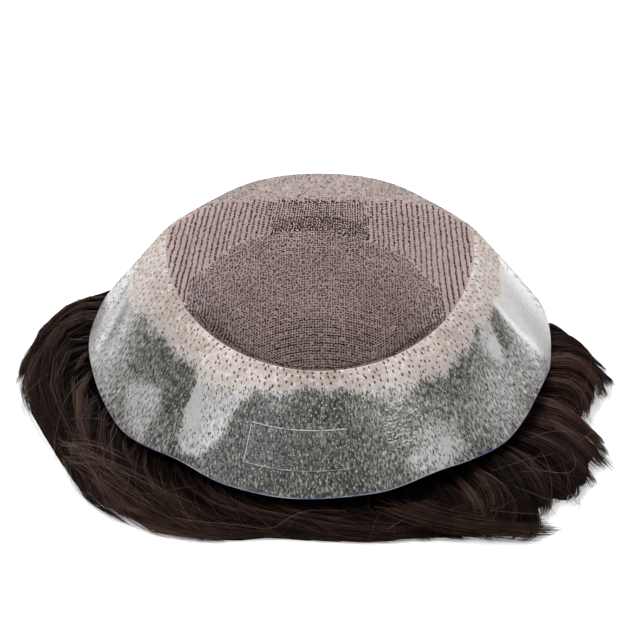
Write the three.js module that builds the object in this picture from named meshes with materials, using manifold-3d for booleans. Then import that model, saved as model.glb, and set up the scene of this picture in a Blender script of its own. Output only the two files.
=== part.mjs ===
// Toupee hairpiece, lying scalp side up on its own hair.
// Millimetres, +Z up, +Y towards the front hairline, +X to the right seen from the back of the head.
// The base is a shallow bowl of net with a rounded crest, and a skirt of clear skin that flares
// down from the crest. All its panels are patches of one surface, named by an angle about the
// middle (0 at +X, counter-clockwise) and a share: 0 bowl middle, 1 crest, 2 outer edge.
import * as THREE from 'three';
import { mergeVertices } from 'three/addons/utils/BufferGeometryUtils.js';
import Module from 'manifold-3d';

// Crest of the bowl, in plan
const CREST_HALF_WIDTH = 58;
const CREST_BACK_REACH = 62.5;
const CREST_FRONT_REACH = 68;
const CREST_WIDEST_Y = 26;
const CREST_FRONT_RISE = 4;
const CREST_SHOULDER_DROOP = 0.4; // how far its front shoulders fall inside an ellipse

// Bowl of net, and the hair squashed under it
const BOWL_DEPTH = 26;
const BOWL_LOWEST_Y = -12;
const BED_UNDER_BOWL = 19.6;

// Skirt, from the crest out to the edge
const SKIRT_RUN_SIDE = 29;
const SKIRT_RUN_BACK = 30.5;
const SKIRT_RUN_FRONT = 29;
const EDGE_WIDEST_Y = 9;
const EDGE_HEIGHT = 15;
const WAVE_HEIGHT = 3;
const CREST_ROUNDING = 0.1; // share of the skirt over which the crest turns into the slope

// Walls, gaps and seams
const NET_WALL = 1;
const SKIN_WALL = 1;
const PATCH_WALL = 0.5;
const SEAM_GAP = 0.3;
const HAIR_GAP = 0.4;

// Top net, outside the arch of the crown net, and the front lace beyond a seam that is a shallow arc
const TOP_NET_SIDE_WIDTH = 11.5;
const ARCH_SHIFT_X = -2;
const TOP_NET_FRONT_WIDTH = 21;
const ARCH_SPRING_Y = -2;
const LACE_DEPTH = 11.3;
const LACE_SEAM_RADIUS = 110;
const LACE_RIGHT_END = 28;
const LACE_LEFT_END = 152;

// Label patch on the skin: its angles, and its top and bottom as shares
const PATCH_FROM_ANGLE = 251;
const PATCH_TO_ANGLE = 277;
const PATCH_TOP_SHARE = 1.5;
const PATCH_BOTTOM_SHARE = 1.8;

// Hair: the wall of the bed and the place where the hair passes under the edge as shares, how far
// the longest tips pass the edge, and one lock's section and root
const BED_EDGE_SHARE = 1.62;
const UNDER_EDGE_SHARE = 1.93;
const HAIR_REACH = 36;
const LOCK_WIDTH = 18;
const LOCK_THICKNESS = 8;
const LOCK_SINK = 0.8;
const LOCK_ROOT_INSET = 9;
const LOCK_TIP = 0.02; // width of its tip, as a share of its full width

// Waves of the skirt: angle, half width in degrees, lift as a share of WAVE_HEIGHT
const SKIRT_WAVES = [
  { at: 172, halfWidth: 13, lift: -0.5 },
  { at: 193, halfWidth: 11, lift: 0.8 },
  { at: 214, halfWidth: 13, lift: -0.8 },
  { at: 235, halfWidth: 13, lift: 0.9 },
  { at: 262, halfWidth: 18, lift: -0.3 },
  { at: 298, halfWidth: 15, lift: 0.8 },
  { at: 320, halfWidth: 12, lift: -0.7 },
  { at: 338, halfWidth: 10, lift: 0.8 },
  { at: 352, halfWidth: 9, lift: -0.9 },
  { at: 370, halfWidth: 12, lift: 0.6 },
];

// Width of the join band at each angle, as a share of the skirt
const BAND_WIDTHS = [
  { at: 150, share: 0.4 },
  { at: 185, share: 0.42 },
  { at: 205, share: 0.34 },
  { at: 222, share: 0.26 },
  { at: 238, share: 0.34 },
  { at: 252, share: 0.22 },
  { at: 282, share: 0.2 },
  { at: 305, share: 0.3 },
  { at: 330, share: 0.26 },
  { at: 365, share: 0.36 },
  { at: 392, share: 0.36 },
];

// Outline of the hair past the edge at each angle: how far the tips reach as a share of
// HAIR_REACH, and how high the hair stands at the edge as a share of EDGE_HEIGHT
const HAIR_OUTLINE = [
  { at: 20, share: 0.18, height: 0.6 },
  { at: 90, share: 0.2, height: 0.55 },
  { at: 142, share: 0.2, height: 0.6 },
  { at: 157, share: 0.42, height: 0.8 },
  { at: 175, share: 0.76, height: 1.05 },
  { at: 205, share: 0.78, height: 0.95 },
  { at: 222, share: 0.8, height: 0.8 },
  { at: 240, share: 0.68, height: 0.7 },
  { at: 255, share: 0.4, height: 0.65 },
  { at: 268, share: 0.22, height: 0.6 },
  { at: 284, share: 0.32, height: 0.6 },
  { at: 300, share: 0.64, height: 0.65 },
  { at: 314, share: 1, height: 0.7 },
  { at: 330, share: 0.94, height: 0.75 },
  { at: 342, share: 0.6, height: 0.8 },
  { at: 352, share: 0.74, height: 0.85 },
  { at: 362, share: 0.5, height: 0.85 },
  { at: 380, share: 0.18, height: 0.6 },
];

// Fall of the hair from the edge (0) to the tips (1), as a share of its height at the edge
const HAIR_FALL = [
  { at: 0, share: 0.94 },
  { at: 0.3, share: 1 },
  { at: 0.6, share: 0.8 },
  { at: 0.85, share: 0.4 },
  { at: 1, share: 0.2 },
];

// Zones of locks: angles of the roots, number of locks, and their sweep in degrees, root to tip
const ZONES = [
  { name: 'left_hair', from: 140, to: 208, locks: 8, sweep: 24 },
  { name: 'back_hair', from: 208, to: 288, locks: 9, sweep: 20 },
  { name: 'right_hair', from: 288, to: 380, locks: 11, sweep: 10 },
  { name: 'front_hair', from: 380, to: 500, locks: 9, sweep: 8 },
];

// Cycle of differences from lock to lock, as factors
const LOCK_DIFFERENCES = [
  { reach: 1, sweep: 1, width: 1 },
  { reach: 0.8, sweep: 1.15, width: 0.85 },
  { reach: 0.95, sweep: 0.85, width: 1.1 },
  { reach: 0.74, sweep: 1.05, width: 0.9 },
  { reach: 0.9, sweep: 0.95, width: 1.05 },
];

// Fineness of the meshes: rows of each panel, which crowd towards the crest in the bowl, and the
// smallest distances that corners and slivers keep
const DEGREES_A_STEP = 6;
const CROWN_ROWS = 6;
const TOP_NET_ROWS = 3;
const LACE_ROWS = 2;
const BAND_ROWS = 2;
const SKIRT_ROWS = 4;
const BED_SLOPE_ROWS = 2;
const ROW_CROWDING = 1.4;
const LOCK_SIDES = 6;
const LOCK_STEPS = 5;
const ROOM_ROWS = 4;
const GROUND_CORNERS = 12; // along each side of a zone's ground
const GROUND_REACH = 1.6; // of that ground, as a share of the longest lock's line
const BODY_PLACES = [0.12, 0.45, 0.7, 0.86]; // of the hair past the edge, as shares of its reach
const CORNER_MERGE = 1e-4;
const SLIVER = 0.05;
const SLOPE_STEP = 0.01; // share over which a slope is measured
const HALVINGS = 30; // in the search for a seam

const MATERIALS = {
  lace: { color: 0xb8a79f, roughness: 0.85 },
  topNet: { color: 0xab9992, roughness: 0.85 },
  crownNet: { color: 0x8f7c76, roughness: 0.85 },
  joinBand: { color: 0xd2c8c0, roughness: 0.45 },
  skin: { color: 0xa8a8a6, roughness: 0.25 },
  patch: { color: 0xbcbcba, roughness: 0.2 },
  hair: { color: 0x241a16, roughness: 0.5 },
};

const { clamp, degToRad, euclideanModulo, lerp, radToDeg, smoothstep } = THREE.MathUtils;
const FULL_TURN = 360;

const CREST_HEIGHT = BED_UNDER_BOWL + HAIR_GAP + NET_WALL + BOWL_DEPTH;
const CREST = {
  halfWidth: CREST_HALF_WIDTH,
  widestY: CREST_WIDEST_Y,
  backReach: CREST_BACK_REACH,
  frontReach: CREST_FRONT_REACH,
  shoulderDroop: CREST_SHOULDER_DROOP,
};
const EDGE = {
  halfWidth: CREST_HALF_WIDTH + SKIRT_RUN_SIDE,
  widestY: EDGE_WIDEST_Y,
  backReach: CREST_BACK_REACH + SKIRT_RUN_BACK,
  frontReach: CREST_FRONT_REACH + SKIRT_RUN_FRONT,
  shoulderDroop: 0,
};

// Smooth value of a table's column at a place, by cubics through its rows
function readTable(rows, at, column = 'share') {
  const last = rows.length - 2;
  const found = rows.findIndex((row, i) => i <= last && at <= rows[i + 1].at);
  const i = found < 0 ? last : found;
  const slopeAt = (j) => {
    const before = rows[Math.max(j - 1, 0)];
    const after = rows[Math.min(j + 1, rows.length - 1)];
    return (after[column] - before[column]) / (after.at - before.at);
  };
  const span = rows[i + 1].at - rows[i].at;
  const t = clamp((at - rows[i].at) / span, 0, 1);
  const straight = rows[i + 1][column] - rows[i][column];
  const bendIn = slopeAt(i) * span - straight;
  const bendOut = straight - slopeAt(i + 1) * span;
  return rows[i][column] + t * straight + t * (1 - t) * (bendIn * (1 - t) + bendOut * t);
}

// The same at an angle, which the table's first row starts a turn of
function readAround(rows, degrees, column) {
  return readTable(rows, rows[0].at + euclideanModulo(degrees - rows[0].at, FULL_TURN), column);
}

// Point of a plan curve made of two half ellipses that share their widest line. The front one's
// shoulders droop inside its ellipse.
function planPoint(curve, degrees) {
  const angle = degToRad(degrees);
  const [across, along] = [Math.cos(angle), Math.sin(angle)];
  if (along < 0) {
    const y = curve.widestY + (curve.backReach + curve.widestY) * along;
    return new THREE.Vector2(curve.halfWidth * across, y);
  }
  const droop = curve.shoulderDroop * (Math.sin(2 * angle) * across) ** 2;
  const x = curve.halfWidth * across * Math.abs(across) ** droop;
  return new THREE.Vector2(x, curve.widestY + (curve.frontReach - curve.widestY) * along ** (1 + droop));
}

// Direction square to a plan curve, pointing out
function planOutward(curve, degrees) {
  const ahead = planPoint(curve, degrees + 1);
  const behind = planPoint(curve, degrees - 1);
  return new THREE.Vector2(ahead.y - behind.y, behind.x - ahead.x).normalize();
}

function crestHeight(degrees) {
  return CREST_HEIGHT + CREST_FRONT_RISE * Math.max(Math.sin(degToRad(degrees)), 0) ** 2;
}

// Height that the waves add, growing from the crest to the edge
function waveHeight(degrees, skirtShare) {
  let lift = 0;
  for (const wave of SKIRT_WAVES) {
    const turned = euclideanModulo(degrees - wave.at + FULL_TURN / 2, FULL_TURN);
    const away = Math.abs(turned - FULL_TURN / 2) / wave.halfWidth;
    if (away < 1) lift += wave.lift * Math.cos((away * Math.PI) / 2) ** 2;
  }
  return WAVE_HEIGHT * lift * smoothstep(skirtShare, 0, 1);
}

// Point of the scalp side of the base
function basePoint(degrees, share) {
  const crest = planPoint(CREST, degrees);
  const top = crestHeight(degrees);
  if (share <= 1) {
    const rise = smoothstep(share * share, 0, 1);
    const height = lerp(CREST_HEIGHT - BOWL_DEPTH, top, rise);
    return new THREE.Vector3(crest.x * share, lerp(BOWL_LOWEST_Y, crest.y, share), height);
  }
  const edge = planPoint(EDGE, degrees);
  const out = share - 1;
  const fall = (share) => Math.hypot(share, CREST_ROUNDING) - CREST_ROUNDING;
  const drop = fall(out) / fall(1);
  const height = lerp(top, EDGE_HEIGHT, drop) + waveHeight(degrees, out);
  return new THREE.Vector3(lerp(crest.x, edge.x, out), lerp(crest.y, edge.y, out), height);
}

// Direction square to the base, pointing to the scalp side
function baseNormal(degrees, share) {
  if (share === 0) return new THREE.Vector3(0, 0, 1);
  const step = Math.min(share / 2, SLOPE_STEP);
  const outward = basePoint(degrees, share + step).sub(basePoint(degrees, share - step));
  const around = basePoint(degrees + 1, share).sub(basePoint(degrees - 1, share));
  return outward.cross(around).normalize();
}

// Point of the base moved square to it: above the scalp side, or below it when negative
function offsetPoint(degrees, share, offset) {
  return basePoint(degrees, share).addScaledVector(baseNormal(degrees, share), offset);
}

// A length along the base at a point, as a share of the line from the bowl's middle to the edge
function lengthShare(length, degrees, share) {
  const ahead = basePoint(degrees, share + SLOPE_STEP);
  const behind = basePoint(degrees, share - SLOPE_STEP);
  return (length * 2 * SLOPE_STEP) / ahead.distanceTo(behind);
}

// Share at which the line out from the bowl's middle leaves a region, no further than the crest
function shareLeaving(isInside, degrees) {
  let low = 0;
  let high = 1;
  if (isInside(basePoint(degrees, high))) return high;
  for (let i = 0; i < HALVINGS; i += 1) {
    const middle = (low + high) / 2;
    if (isInside(basePoint(degrees, middle))) low = middle;
    else high = middle;
  }
  return low;
}

// The arch has straight sides, and a half ellipse from its spring line to the front
function isInsideArch({ x, y }) {
  const sideways = (x - ARCH_SHIFT_X) / (CREST_HALF_WIDTH - TOP_NET_SIDE_WIDTH);
  const reach = CREST_FRONT_REACH - TOP_NET_FRONT_WIDTH - ARCH_SPRING_Y;
  return Math.hypot(sideways, Math.max(y - ARCH_SPRING_Y, 0) / reach) < 1;
}

function isBehindLaceSeam({ x, y }) {
  return y < CREST_FRONT_REACH - LACE_DEPTH - (x * x) / (2 * LACE_SEAM_RADIUS);
}

// Seam lines as shares, moved half a seam gap out or in
function seam(lineShare, side) {
  return (degrees) => {
    const share = lineShare(degrees);
    return share + side * lengthShare(SEAM_GAP / 2, degrees, share);
  };
}

const archLine = (degrees) => shareLeaving(isInsideArch, degrees);
const laceLine = (degrees) => shareLeaving(isBehindLaceSeam, degrees);
const middleLine = () => 0;
const crestLine = () => 1;
const edgeLine = () => 2;
const bandLine = (degrees) => 1 + readAround(BAND_WIDTHS, degrees);
const bedLine = () => BED_EDGE_SHARE;
const besideBed = seam(bedLine, 2);

// Angle past the middle line at which the top net narrows to a point, on the +X or the -X side
function topNetAngle(side) {
  const archHalfWidth = CREST_HALF_WIDTH - TOP_NET_SIDE_WIDTH + side * ARCH_SHIFT_X;
  return radToDeg(Math.acos((archHalfWidth + 3 * SEAM_GAP) / CREST_HALF_WIDTH));
}

const seamAngle = radToDeg(SEAM_GAP / 2 / CREST_HALF_WIDTH);

const wasm = await Module();
wasm.setup();

// Solid of a closed mesh: shared corners are merged, and triangles that collapse are left out
function solidOf(geometry) {
  geometry.deleteAttribute('normal');
  geometry.deleteAttribute('uv');
  const merged = mergeVertices(geometry, CORNER_MERGE);
  const index = merged.index.array;
  const kept = [];
  for (let i = 0; i < index.length; i += 3) {
    const [a, b, c] = index.slice(i, i + 3);
    if (a !== b && b !== c && c !== a) kept.push(a, b, c);
  }
  return new wasm.Manifold(new wasm.Mesh({
    numProp: 3,
    vertProperties: merged.attributes.position.array,
    triVerts: new Uint32Array(kept),
  }));
}

function solidFrom(points, triangles) {
  return solidOf(new THREE.BufferGeometry().setFromPoints(points).setIndex(triangles.flat()));
}

// Solid between two sheets of points: columns run round, each with a top line and a bottom line
function sheetSolid(columns, goesRound) {
  const count = columns[0].top.length;
  const outer = count - 1;
  const spans = goesRound ? columns.length : columns.length - 1;
  const points = columns.flatMap((column) => [...column.top, ...column.bottom]);
  const top = (i, j) => (i % columns.length) * 2 * count + j;
  const bottom = (i, j) => top(i, j) + count;
  const triangles = [];
  const quad = (a, b, c, d) => triangles.push([a, b, c], [a, c, d]);
  for (let i = 0; i < spans; i += 1) {
    for (let j = 0; j < outer; j += 1) {
      quad(top(i, j), top(i, j + 1), top(i + 1, j + 1), top(i + 1, j));
      quad(bottom(i, j), bottom(i + 1, j), bottom(i + 1, j + 1), bottom(i, j + 1));
    }
    quad(top(i, 0), top(i + 1, 0), bottom(i + 1, 0), bottom(i, 0));
    quad(top(i, outer), bottom(i, outer), bottom(i + 1, outer), top(i + 1, outer));
  }
  for (let j = 0; j < outer && !goesRound; j += 1) {
    quad(top(0, j), bottom(0, j), bottom(0, j + 1), top(0, j + 1));
    quad(top(spans, j), top(spans, j + 1), bottom(spans, j + 1), bottom(spans, j));
  }
  return solidFrom(points, triangles);
}

// Patch of the base between two angles, through lines of shares with rows between them. It goes
// from a lift down through a wall, or down to the flat surface where no wall is given.
function basePatch({ from = 0, to = FULL_TURN, lines, rows, lift = 0, wall }) {
  const goesRound = to - from === FULL_TURN;
  const steps = Math.ceil((to - from) / DEGREES_A_STEP);
  const columns = [];
  for (let i = 0; i < (goesRound ? steps : steps + 1); i += 1) {
    const degrees = lerp(from, to, i / steps);
    const shares = [lines[0](degrees)];
    rows.forEach((count, k) => {
      const [start, end] = [lines[k](degrees), lines[k + 1](degrees)];
      for (let j = 1; j <= count; j += 1) {
        const crowded = 1 - (1 - j / count) ** ROW_CROWDING;
        shares.push(lerp(start, end, end > 1 ? j / count : crowded));
      }
    });
    const top = shares.map((share) => offsetPoint(degrees, share, lift));
    const floor = top.map((point, j) => top[j === 0 ? 0 : top.length - 1].clone().setZ(0));
    const under = shares.map((share) => offsetPoint(degrees, share, lift - wall));
    columns.push({ top, bottom: wall === undefined ? floor : under });
  }
  return sheetSolid(columns, goesRound);
}

// Loft through closed loops of points, capped flat at its first loop and last loop
function loftSolid(loops) {
  const count = loops[0].length;
  const last = (loops.length - 1) * count;
  const triangles = [];
  for (let i = 0; i < last; i += count) {
    for (let j = 0; j < count; j += 1) {
      const [a, b] = [i + j, i + ((j + 1) % count)];
      triangles.push([a, b, b + count], [a, b + count, a + count]);
    }
  }
  for (let j = 1; j < count - 1; j += 1) triangles.push([0, j + 1, j], [last, last + j, last + j + 1]);
  return solidFrom(loops.flat(), triangles);
}

const hairReach = (degrees) => HAIR_REACH * readAround(HAIR_OUTLINE, degrees);

// Height of the hair at an angle, some way past the edge
function hairHeight(degrees, out) {
  const edgeHeight = EDGE_HEIGHT * readAround(HAIR_OUTLINE, degrees, 'height');
  return edgeHeight * readTable(HAIR_FALL, clamp(out / hairReach(degrees), 0, 1));
}

// Place on a lock's line, from its root under the base (0) to its tip (1)
function lockPlace({ root, sweep, reach }, t) {
  const degrees = root + sweep * t * Math.sqrt(t);
  const out = lerp(-LOCK_ROOT_INSET, reach, t);
  const plan = planPoint(EDGE, degrees).addScaledVector(planOutward(EDGE, degrees), out);
  return { degrees, out, plan };
}

function lockPoint(lock, t) {
  const { degrees, out, plan } = lockPlace(lock, t);
  return new THREE.Vector3(plan.x, plan.y, Math.max(hairHeight(degrees, out) - LOCK_SINK, LOCK_SINK));
}

// Flattened lock that tapers to its tip and never goes below the surface
function lockSolid(lock) {
  const up = new THREE.Vector3(0, 0, 1);
  const loops = [];
  for (let i = 0; i <= LOCK_STEPS; i += 1) {
    const t = i / LOCK_STEPS;
    const behind = lockPoint(lock, Math.max(t - SLOPE_STEP, 0));
    const along = lockPoint(lock, Math.min(t + SLOPE_STEP, 1)).sub(behind);
    const side = new THREE.Vector3().crossVectors(up, along.normalize()).normalize();
    const over = new THREE.Vector3().crossVectors(along, side);
    const taper = Math.max(Math.sqrt(1 - t ** 3), LOCK_TIP);
    const loop = [];
    for (let j = 0; j < LOCK_SIDES; j += 1) {
      const turn = (j / LOCK_SIDES) * 2 * Math.PI;
      const point = lockPoint(lock, t);
      point.addScaledVector(side, (lock.width / 2) * taper * Math.cos(turn));
      point.addScaledVector(over, (LOCK_THICKNESS / 2) * taper * Math.sin(turn));
      loop.push(point.setZ(Math.max(point.z, 0)));
    }
    loops.push(loop);
  }
  return loftSolid(loops);
}

function zoneLocks(zone) {
  const spacing = (zone.to - zone.from) / zone.locks;
  return Array.from({ length: zone.locks }, (_, i) => {
    const difference = LOCK_DIFFERENCES[i % LOCK_DIFFERENCES.length];
    const root = zone.from + (i + 0.5) * spacing;
    const sweep = zone.sweep * difference.sweep;
    const reach = hairReach(root + sweep) * difference.reach;
    return lockSolid({ root, sweep, reach, width: LOCK_WIDTH * difference.width });
  });
}

// Upright solid over the ground that one zone keeps to, from inside the bed's wall to well past the
// longest tips. A side between two zones follows the middle of their sweeps.
function zoneGround(zone, place) {
  const before = ZONES.at(place - 1);
  const after = ZONES[(place + 1) % ZONES.length];
  const sideGap = radToDeg(HAIR_GAP / EDGE.halfWidth);
  const rootAt = (t) => lerp(zone.from + sideGap, zone.to - sideGap, t);
  const sweepAt = (t) => (zone.sweep + lerp(before.sweep, after.sweep, t)) / 2;
  const inner = (t) => planPoint(CREST, rootAt(t)).lerp(planPoint(EDGE, rootAt(t)), (BED_EDGE_SHARE - 1) / 2);
  const outer = (t, along) => {
    const lock = { root: rootAt(t), sweep: sweepAt(t), reach: HAIR_REACH };
    return lockPlace(lock, along * GROUND_REACH).plan;
  };
  const shares = Array.from({ length: GROUND_CORNERS }, (_, i) => i / GROUND_CORNERS);
  const outline = [
    ...shares.map((t) => inner(1 - t)),
    inner(0),
    ...shares.map((t) => outer(0, t)),
    ...shares.map((t) => outer(t, 1)),
    ...shares.map((t) => outer(1, 1 - t)),
    outer(1, 0),
  ];
  const block = new THREE.ExtrudeGeometry(new THREE.Shape(outline), {
    depth: CREST_HEIGHT + 1,
    bevelEnabled: false,
  });
  return solidOf(block.translate(0, 0, -1));
}

// Body of the hair all round: under the edge of the base, then past it and down to the surface
const hairLift = -SKIN_WALL - HAIR_GAP;
function hairBody() {
  const columns = [];
  for (let degrees = 0; degrees < FULL_TURN; degrees += DEGREES_A_STEP) {
    const under = [besideBed(degrees), UNDER_EDGE_SHARE];
    const top = under.map((share) => offsetPoint(degrees, share, hairLift - HAIR_GAP));
    for (const place of BODY_PLACES) {
      const out = place * hairReach(degrees);
      const plan = planPoint(EDGE, degrees).addScaledVector(planOutward(EDGE, degrees), out);
      top.push(new THREE.Vector3(plan.x, plan.y, hairHeight(degrees, out)));
    }
    const bottom = top.map((_, j) => top[j === 0 ? 0 : top.length - 1].clone().setZ(0));
    columns.push({ top, bottom });
  }
  return sheetSolid(columns, true);
}

// Room that the hair leaves for the base, from just under it to well above it
const roomAbove = EDGE_HEIGHT;
const baseRoom = basePatch({
  lines: [() => 1 + (BED_EDGE_SHARE - 1) / 2, () => 2 + SEAM_GAP / SKIRT_RUN_SIDE],
  rows: [ROOM_ROWS],
  lift: roomAbove,
  wall: roomAbove - hairLift,
});

// Room that they leave for the bed
const bedRoom = basePatch({
  lines: [middleLine, besideBed],
  rows: [1],
  lift: hairLift,
});

const body = hairBody();
function zoneSolid(zone, place) {
  const mass = zoneLocks(zone).reduce((sum, lock) => sum.add(lock), body);
  const cut = mass.subtract(baseRoom).subtract(bedRoom).intersect(zoneGround(zone, place));
  return cut.decompose().sort((a, b) => b.volume() - a.volume())[0].simplify(SLIVER);
}

const skinFrom = LACE_LEFT_END + seamAngle;
const skinTo = FULL_TURN + LACE_RIGHT_END - seamAngle;

const pieces = [
  {
    name: 'front_lace',
    material: MATERIALS.lace,
    solid: basePatch({
      from: LACE_RIGHT_END + seamAngle,
      to: LACE_LEFT_END - seamAngle,
      lines: [seam(laceLine, 1), crestLine, bandLine, edgeLine],
      rows: [LACE_ROWS, BAND_ROWS, SKIRT_ROWS],
      wall: NET_WALL,
    }),
  },
  {
    name: 'top_net',
    material: MATERIALS.topNet,
    solid: basePatch({
      from: -topNetAngle(1),
      to: FULL_TURN / 2 + topNetAngle(-1),
      lines: [seam(archLine, 1), seam(laceLine, -1)],
      rows: [TOP_NET_ROWS],
      wall: NET_WALL,
    }),
  },
  {
    name: 'crown_net',
    material: MATERIALS.crownNet,
    solid: basePatch({
      lines: [middleLine, seam(archLine, -1)],
      rows: [CROWN_ROWS],
      wall: NET_WALL,
    }),
  },
  {
    name: 'poly_join_band',
    material: MATERIALS.joinBand,
    solid: basePatch({
      from: skinFrom,
      to: skinTo,
      lines: [seam(crestLine, 1), seam(bandLine, -1)],
      rows: [BAND_ROWS],
      wall: SKIN_WALL,
    }),
  },
  {
    name: 'poly_skirt',
    material: MATERIALS.skin,
    solid: basePatch({
      from: skinFrom,
      to: skinTo,
      lines: [seam(bandLine, 1), edgeLine],
      rows: [SKIRT_ROWS],
      wall: SKIN_WALL,
    }),
  },
  {
    name: 'clear_label_patch',
    material: MATERIALS.patch,
    solid: basePatch({
      from: PATCH_FROM_ANGLE,
      to: PATCH_TO_ANGLE,
      lines: [() => PATCH_TOP_SHARE, () => PATCH_BOTTOM_SHARE],
      rows: [2],
      lift: SEAM_GAP + PATCH_WALL,
      wall: PATCH_WALL,
    }),
  },
  {
    name: 'under_hair',
    material: MATERIALS.hair,
    solid: basePatch({
      lines: [middleLine, archLine, laceLine, crestLine, bandLine, bedLine],
      rows: [CROWN_ROWS, TOP_NET_ROWS, LACE_ROWS, BAND_ROWS, BED_SLOPE_ROWS],
      lift: -NET_WALL - HAIR_GAP,
    }),
  },
  ...ZONES.map((zone, place) => ({
    name: zone.name,
    material: MATERIALS.hair,
    solid: zoneSolid(zone, place),
  })),
];

const hairpiece = new THREE.Group();
for (const { name, material, solid } of pieces) {
  const { vertProperties, triVerts } = solid.getMesh();
  const geometry = new THREE.BufferGeometry();
  geometry.setAttribute('position', new THREE.BufferAttribute(vertProperties, 3));
  geometry.setIndex(new THREE.BufferAttribute(triVerts, 1));
  geometry.computeVertexNormals();
  const mesh = new THREE.Mesh(geometry, new THREE.MeshStandardMaterial({ ...material, metalness: 0 }));
  mesh.name = name;
  hairpiece.add(mesh);
}

// The origin is the middle of the piece's box, on the surface that it lies on
const box = new THREE.Box3().setFromObject(hairpiece);
const middle = box.getCenter(new THREE.Vector3());
hairpiece.position.set(-middle.x, -middle.y, -box.min.z);

export default hairpiece;
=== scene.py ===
import math

import bmesh
import bpy
import numpy as np
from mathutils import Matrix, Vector


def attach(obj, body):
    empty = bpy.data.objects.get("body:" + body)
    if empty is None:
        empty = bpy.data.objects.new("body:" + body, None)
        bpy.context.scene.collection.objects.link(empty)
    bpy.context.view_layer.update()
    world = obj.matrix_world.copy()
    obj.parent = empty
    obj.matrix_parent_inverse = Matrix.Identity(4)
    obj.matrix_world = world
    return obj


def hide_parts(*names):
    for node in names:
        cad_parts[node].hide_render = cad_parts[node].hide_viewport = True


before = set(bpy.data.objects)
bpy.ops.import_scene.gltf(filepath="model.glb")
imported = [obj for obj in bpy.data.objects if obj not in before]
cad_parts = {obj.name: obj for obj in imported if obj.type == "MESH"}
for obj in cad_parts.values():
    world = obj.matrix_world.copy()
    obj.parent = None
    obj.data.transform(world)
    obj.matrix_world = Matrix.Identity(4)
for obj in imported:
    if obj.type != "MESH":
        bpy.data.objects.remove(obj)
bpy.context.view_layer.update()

# View
# The hairpiece lies with its scalp side up and the back of the head towards the viewer, who looks
# down on it through a long lens.
VIEW_ELEVATION = math.radians(33)
VIEW_DISTANCE = 1.0
VIEW_TARGET = Vector((0.00282, -0.00343, 0.030))
VIEW_WIDTH = 0.2373  # width of the picture at the target
SENSOR_WIDTH = 36

view_data = bpy.data.cameras.new("view")
view_data.sensor_width = SENSOR_WIDTH
view_data.lens = SENSOR_WIDTH * VIEW_DISTANCE / VIEW_WIDTH
view = bpy.data.objects.new("view", view_data)
bpy.context.scene.collection.objects.link(view)
view_back = Vector((0, -math.cos(VIEW_ELEVATION), math.sin(VIEW_ELEVATION)))
view.location = VIEW_TARGET + view_back * VIEW_DISTANCE
view.rotation_mode = "QUATERNION"
view.rotation_quaternion = (-view_back).to_track_quat("-Z", "Y")
bpy.context.scene.camera = view

# Crown net
# The base is a shallow bowl that fits the top of the head, with a raised crest round it. Its middle
# is a panel of fine mauve net, shaped on a head form, with one dark hair knotted round its threads
# at nearly every hole. The knots lie in rows that arc towards the back.


def table(columns, *rows):
    """Rows of values, each under the name of its column."""
    return [dict(zip(columns.split(), row)) for row in rows]


BASE_MIDDLE = np.array([0.00282, 0.00027, 0.0])
CREST = {"half_width": 0.058, "widest_y": 0.026, "back": 0.0625, "front": 0.068, "droop": 0.4}
EDGE = {"half_width": 0.087, "widest_y": 0.009, "back": 0.093, "front": 0.097, "droop": 0.0}
CREST_HEIGHT = 0.047
CREST_FRONT_RISE = 0.004
CREST_ROUNDING = 0.1
CREST_SHARE = 1
BOWL_DEPTH = 0.026
BOWL_LOWEST_Y = -0.012
EDGE_HEIGHT = 0.015
WAVE_HEIGHT = 0.003
SKIRT_WAVES = table(
    "at half_width lift",
    (172, 13, -0.5), (193, 11, 0.8), (214, 13, -0.8), (235, 13, 0.9), (262, 18, -0.3),
    (298, 15, 0.8), (320, 12, -0.7), (338, 10, 0.8), (352, 9, -0.9), (370, 12, 0.6),
)
NET_THICKNESS = 0.0005
NET_PITCH = 0.0007
PANEL_GAP = 0.0002  # between panels, as a share
ARCH_HALF_WIDTH = 0.0465
ARCH_SHIFT_X = -0.002
ARCH_SPRING_Y = -0.002
ARCH_FRONT_Y = 0.047
ARCH_PALE_FROM = 0.72  # the painted shade lifts from here to the arch, as a share of the way
CROWN_KNOT_AREA = {"x": (-0.05, 0.05), "y": (-0.064, 0.052)}
CROWN_KNOT_SPACING = 0.00098
CROWN_KNOT_WIDTH = 0.00068
CROWN_KNOT_FILL = 0.66  # length of a knot as a share of the distance to the next row
CROWN_KNOTS_TIED = 0.94
CROWN_KNOT_LEAN = 0.4
CROWN_KNOT_REACH = {"past_arch": 0.004, "crest": 0.985}
CROWN_ROW_STRETCH = 0.45
CROWN_ROW_RADIUS = 0.055
CROWN_HEAVY_ROW = {"every": 3, "size": 0.25, "others": 0.1, "from_y": 0.002, "to_y": 0.022}
CROWN_SCATTER = {
    "nape": 0.00007, "arch": 0.00018, "from_y": -0.004, "to_y": 0.03, "sides": 0.0001, "side_x": 0.02
}
# painted shade on the crown net: darkest at the nape, lifted near the arch
CROWN_SHADE = {"most": 0.72, "nape_y": -0.066, "over": 0.11, "at_arch": 0.95}
CROWN_THREAD_COLOUR = (0.415, 0.308, 0.3, 1)
CROWN_GAP_COLOUR = (0.085, 0.056, 0.054, 1)
CROWN_SHADE_COLOUR = (0.1, 0.06, 0.043, 1)
KNOT_COLOUR = (0.0085, 0.0055, 0.0045, 1)
KNOT_SHINE = 0.06


def smooth(t):
    t = np.clip(t, 0, 1)
    return t * t * (3 - 2 * t)


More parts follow.
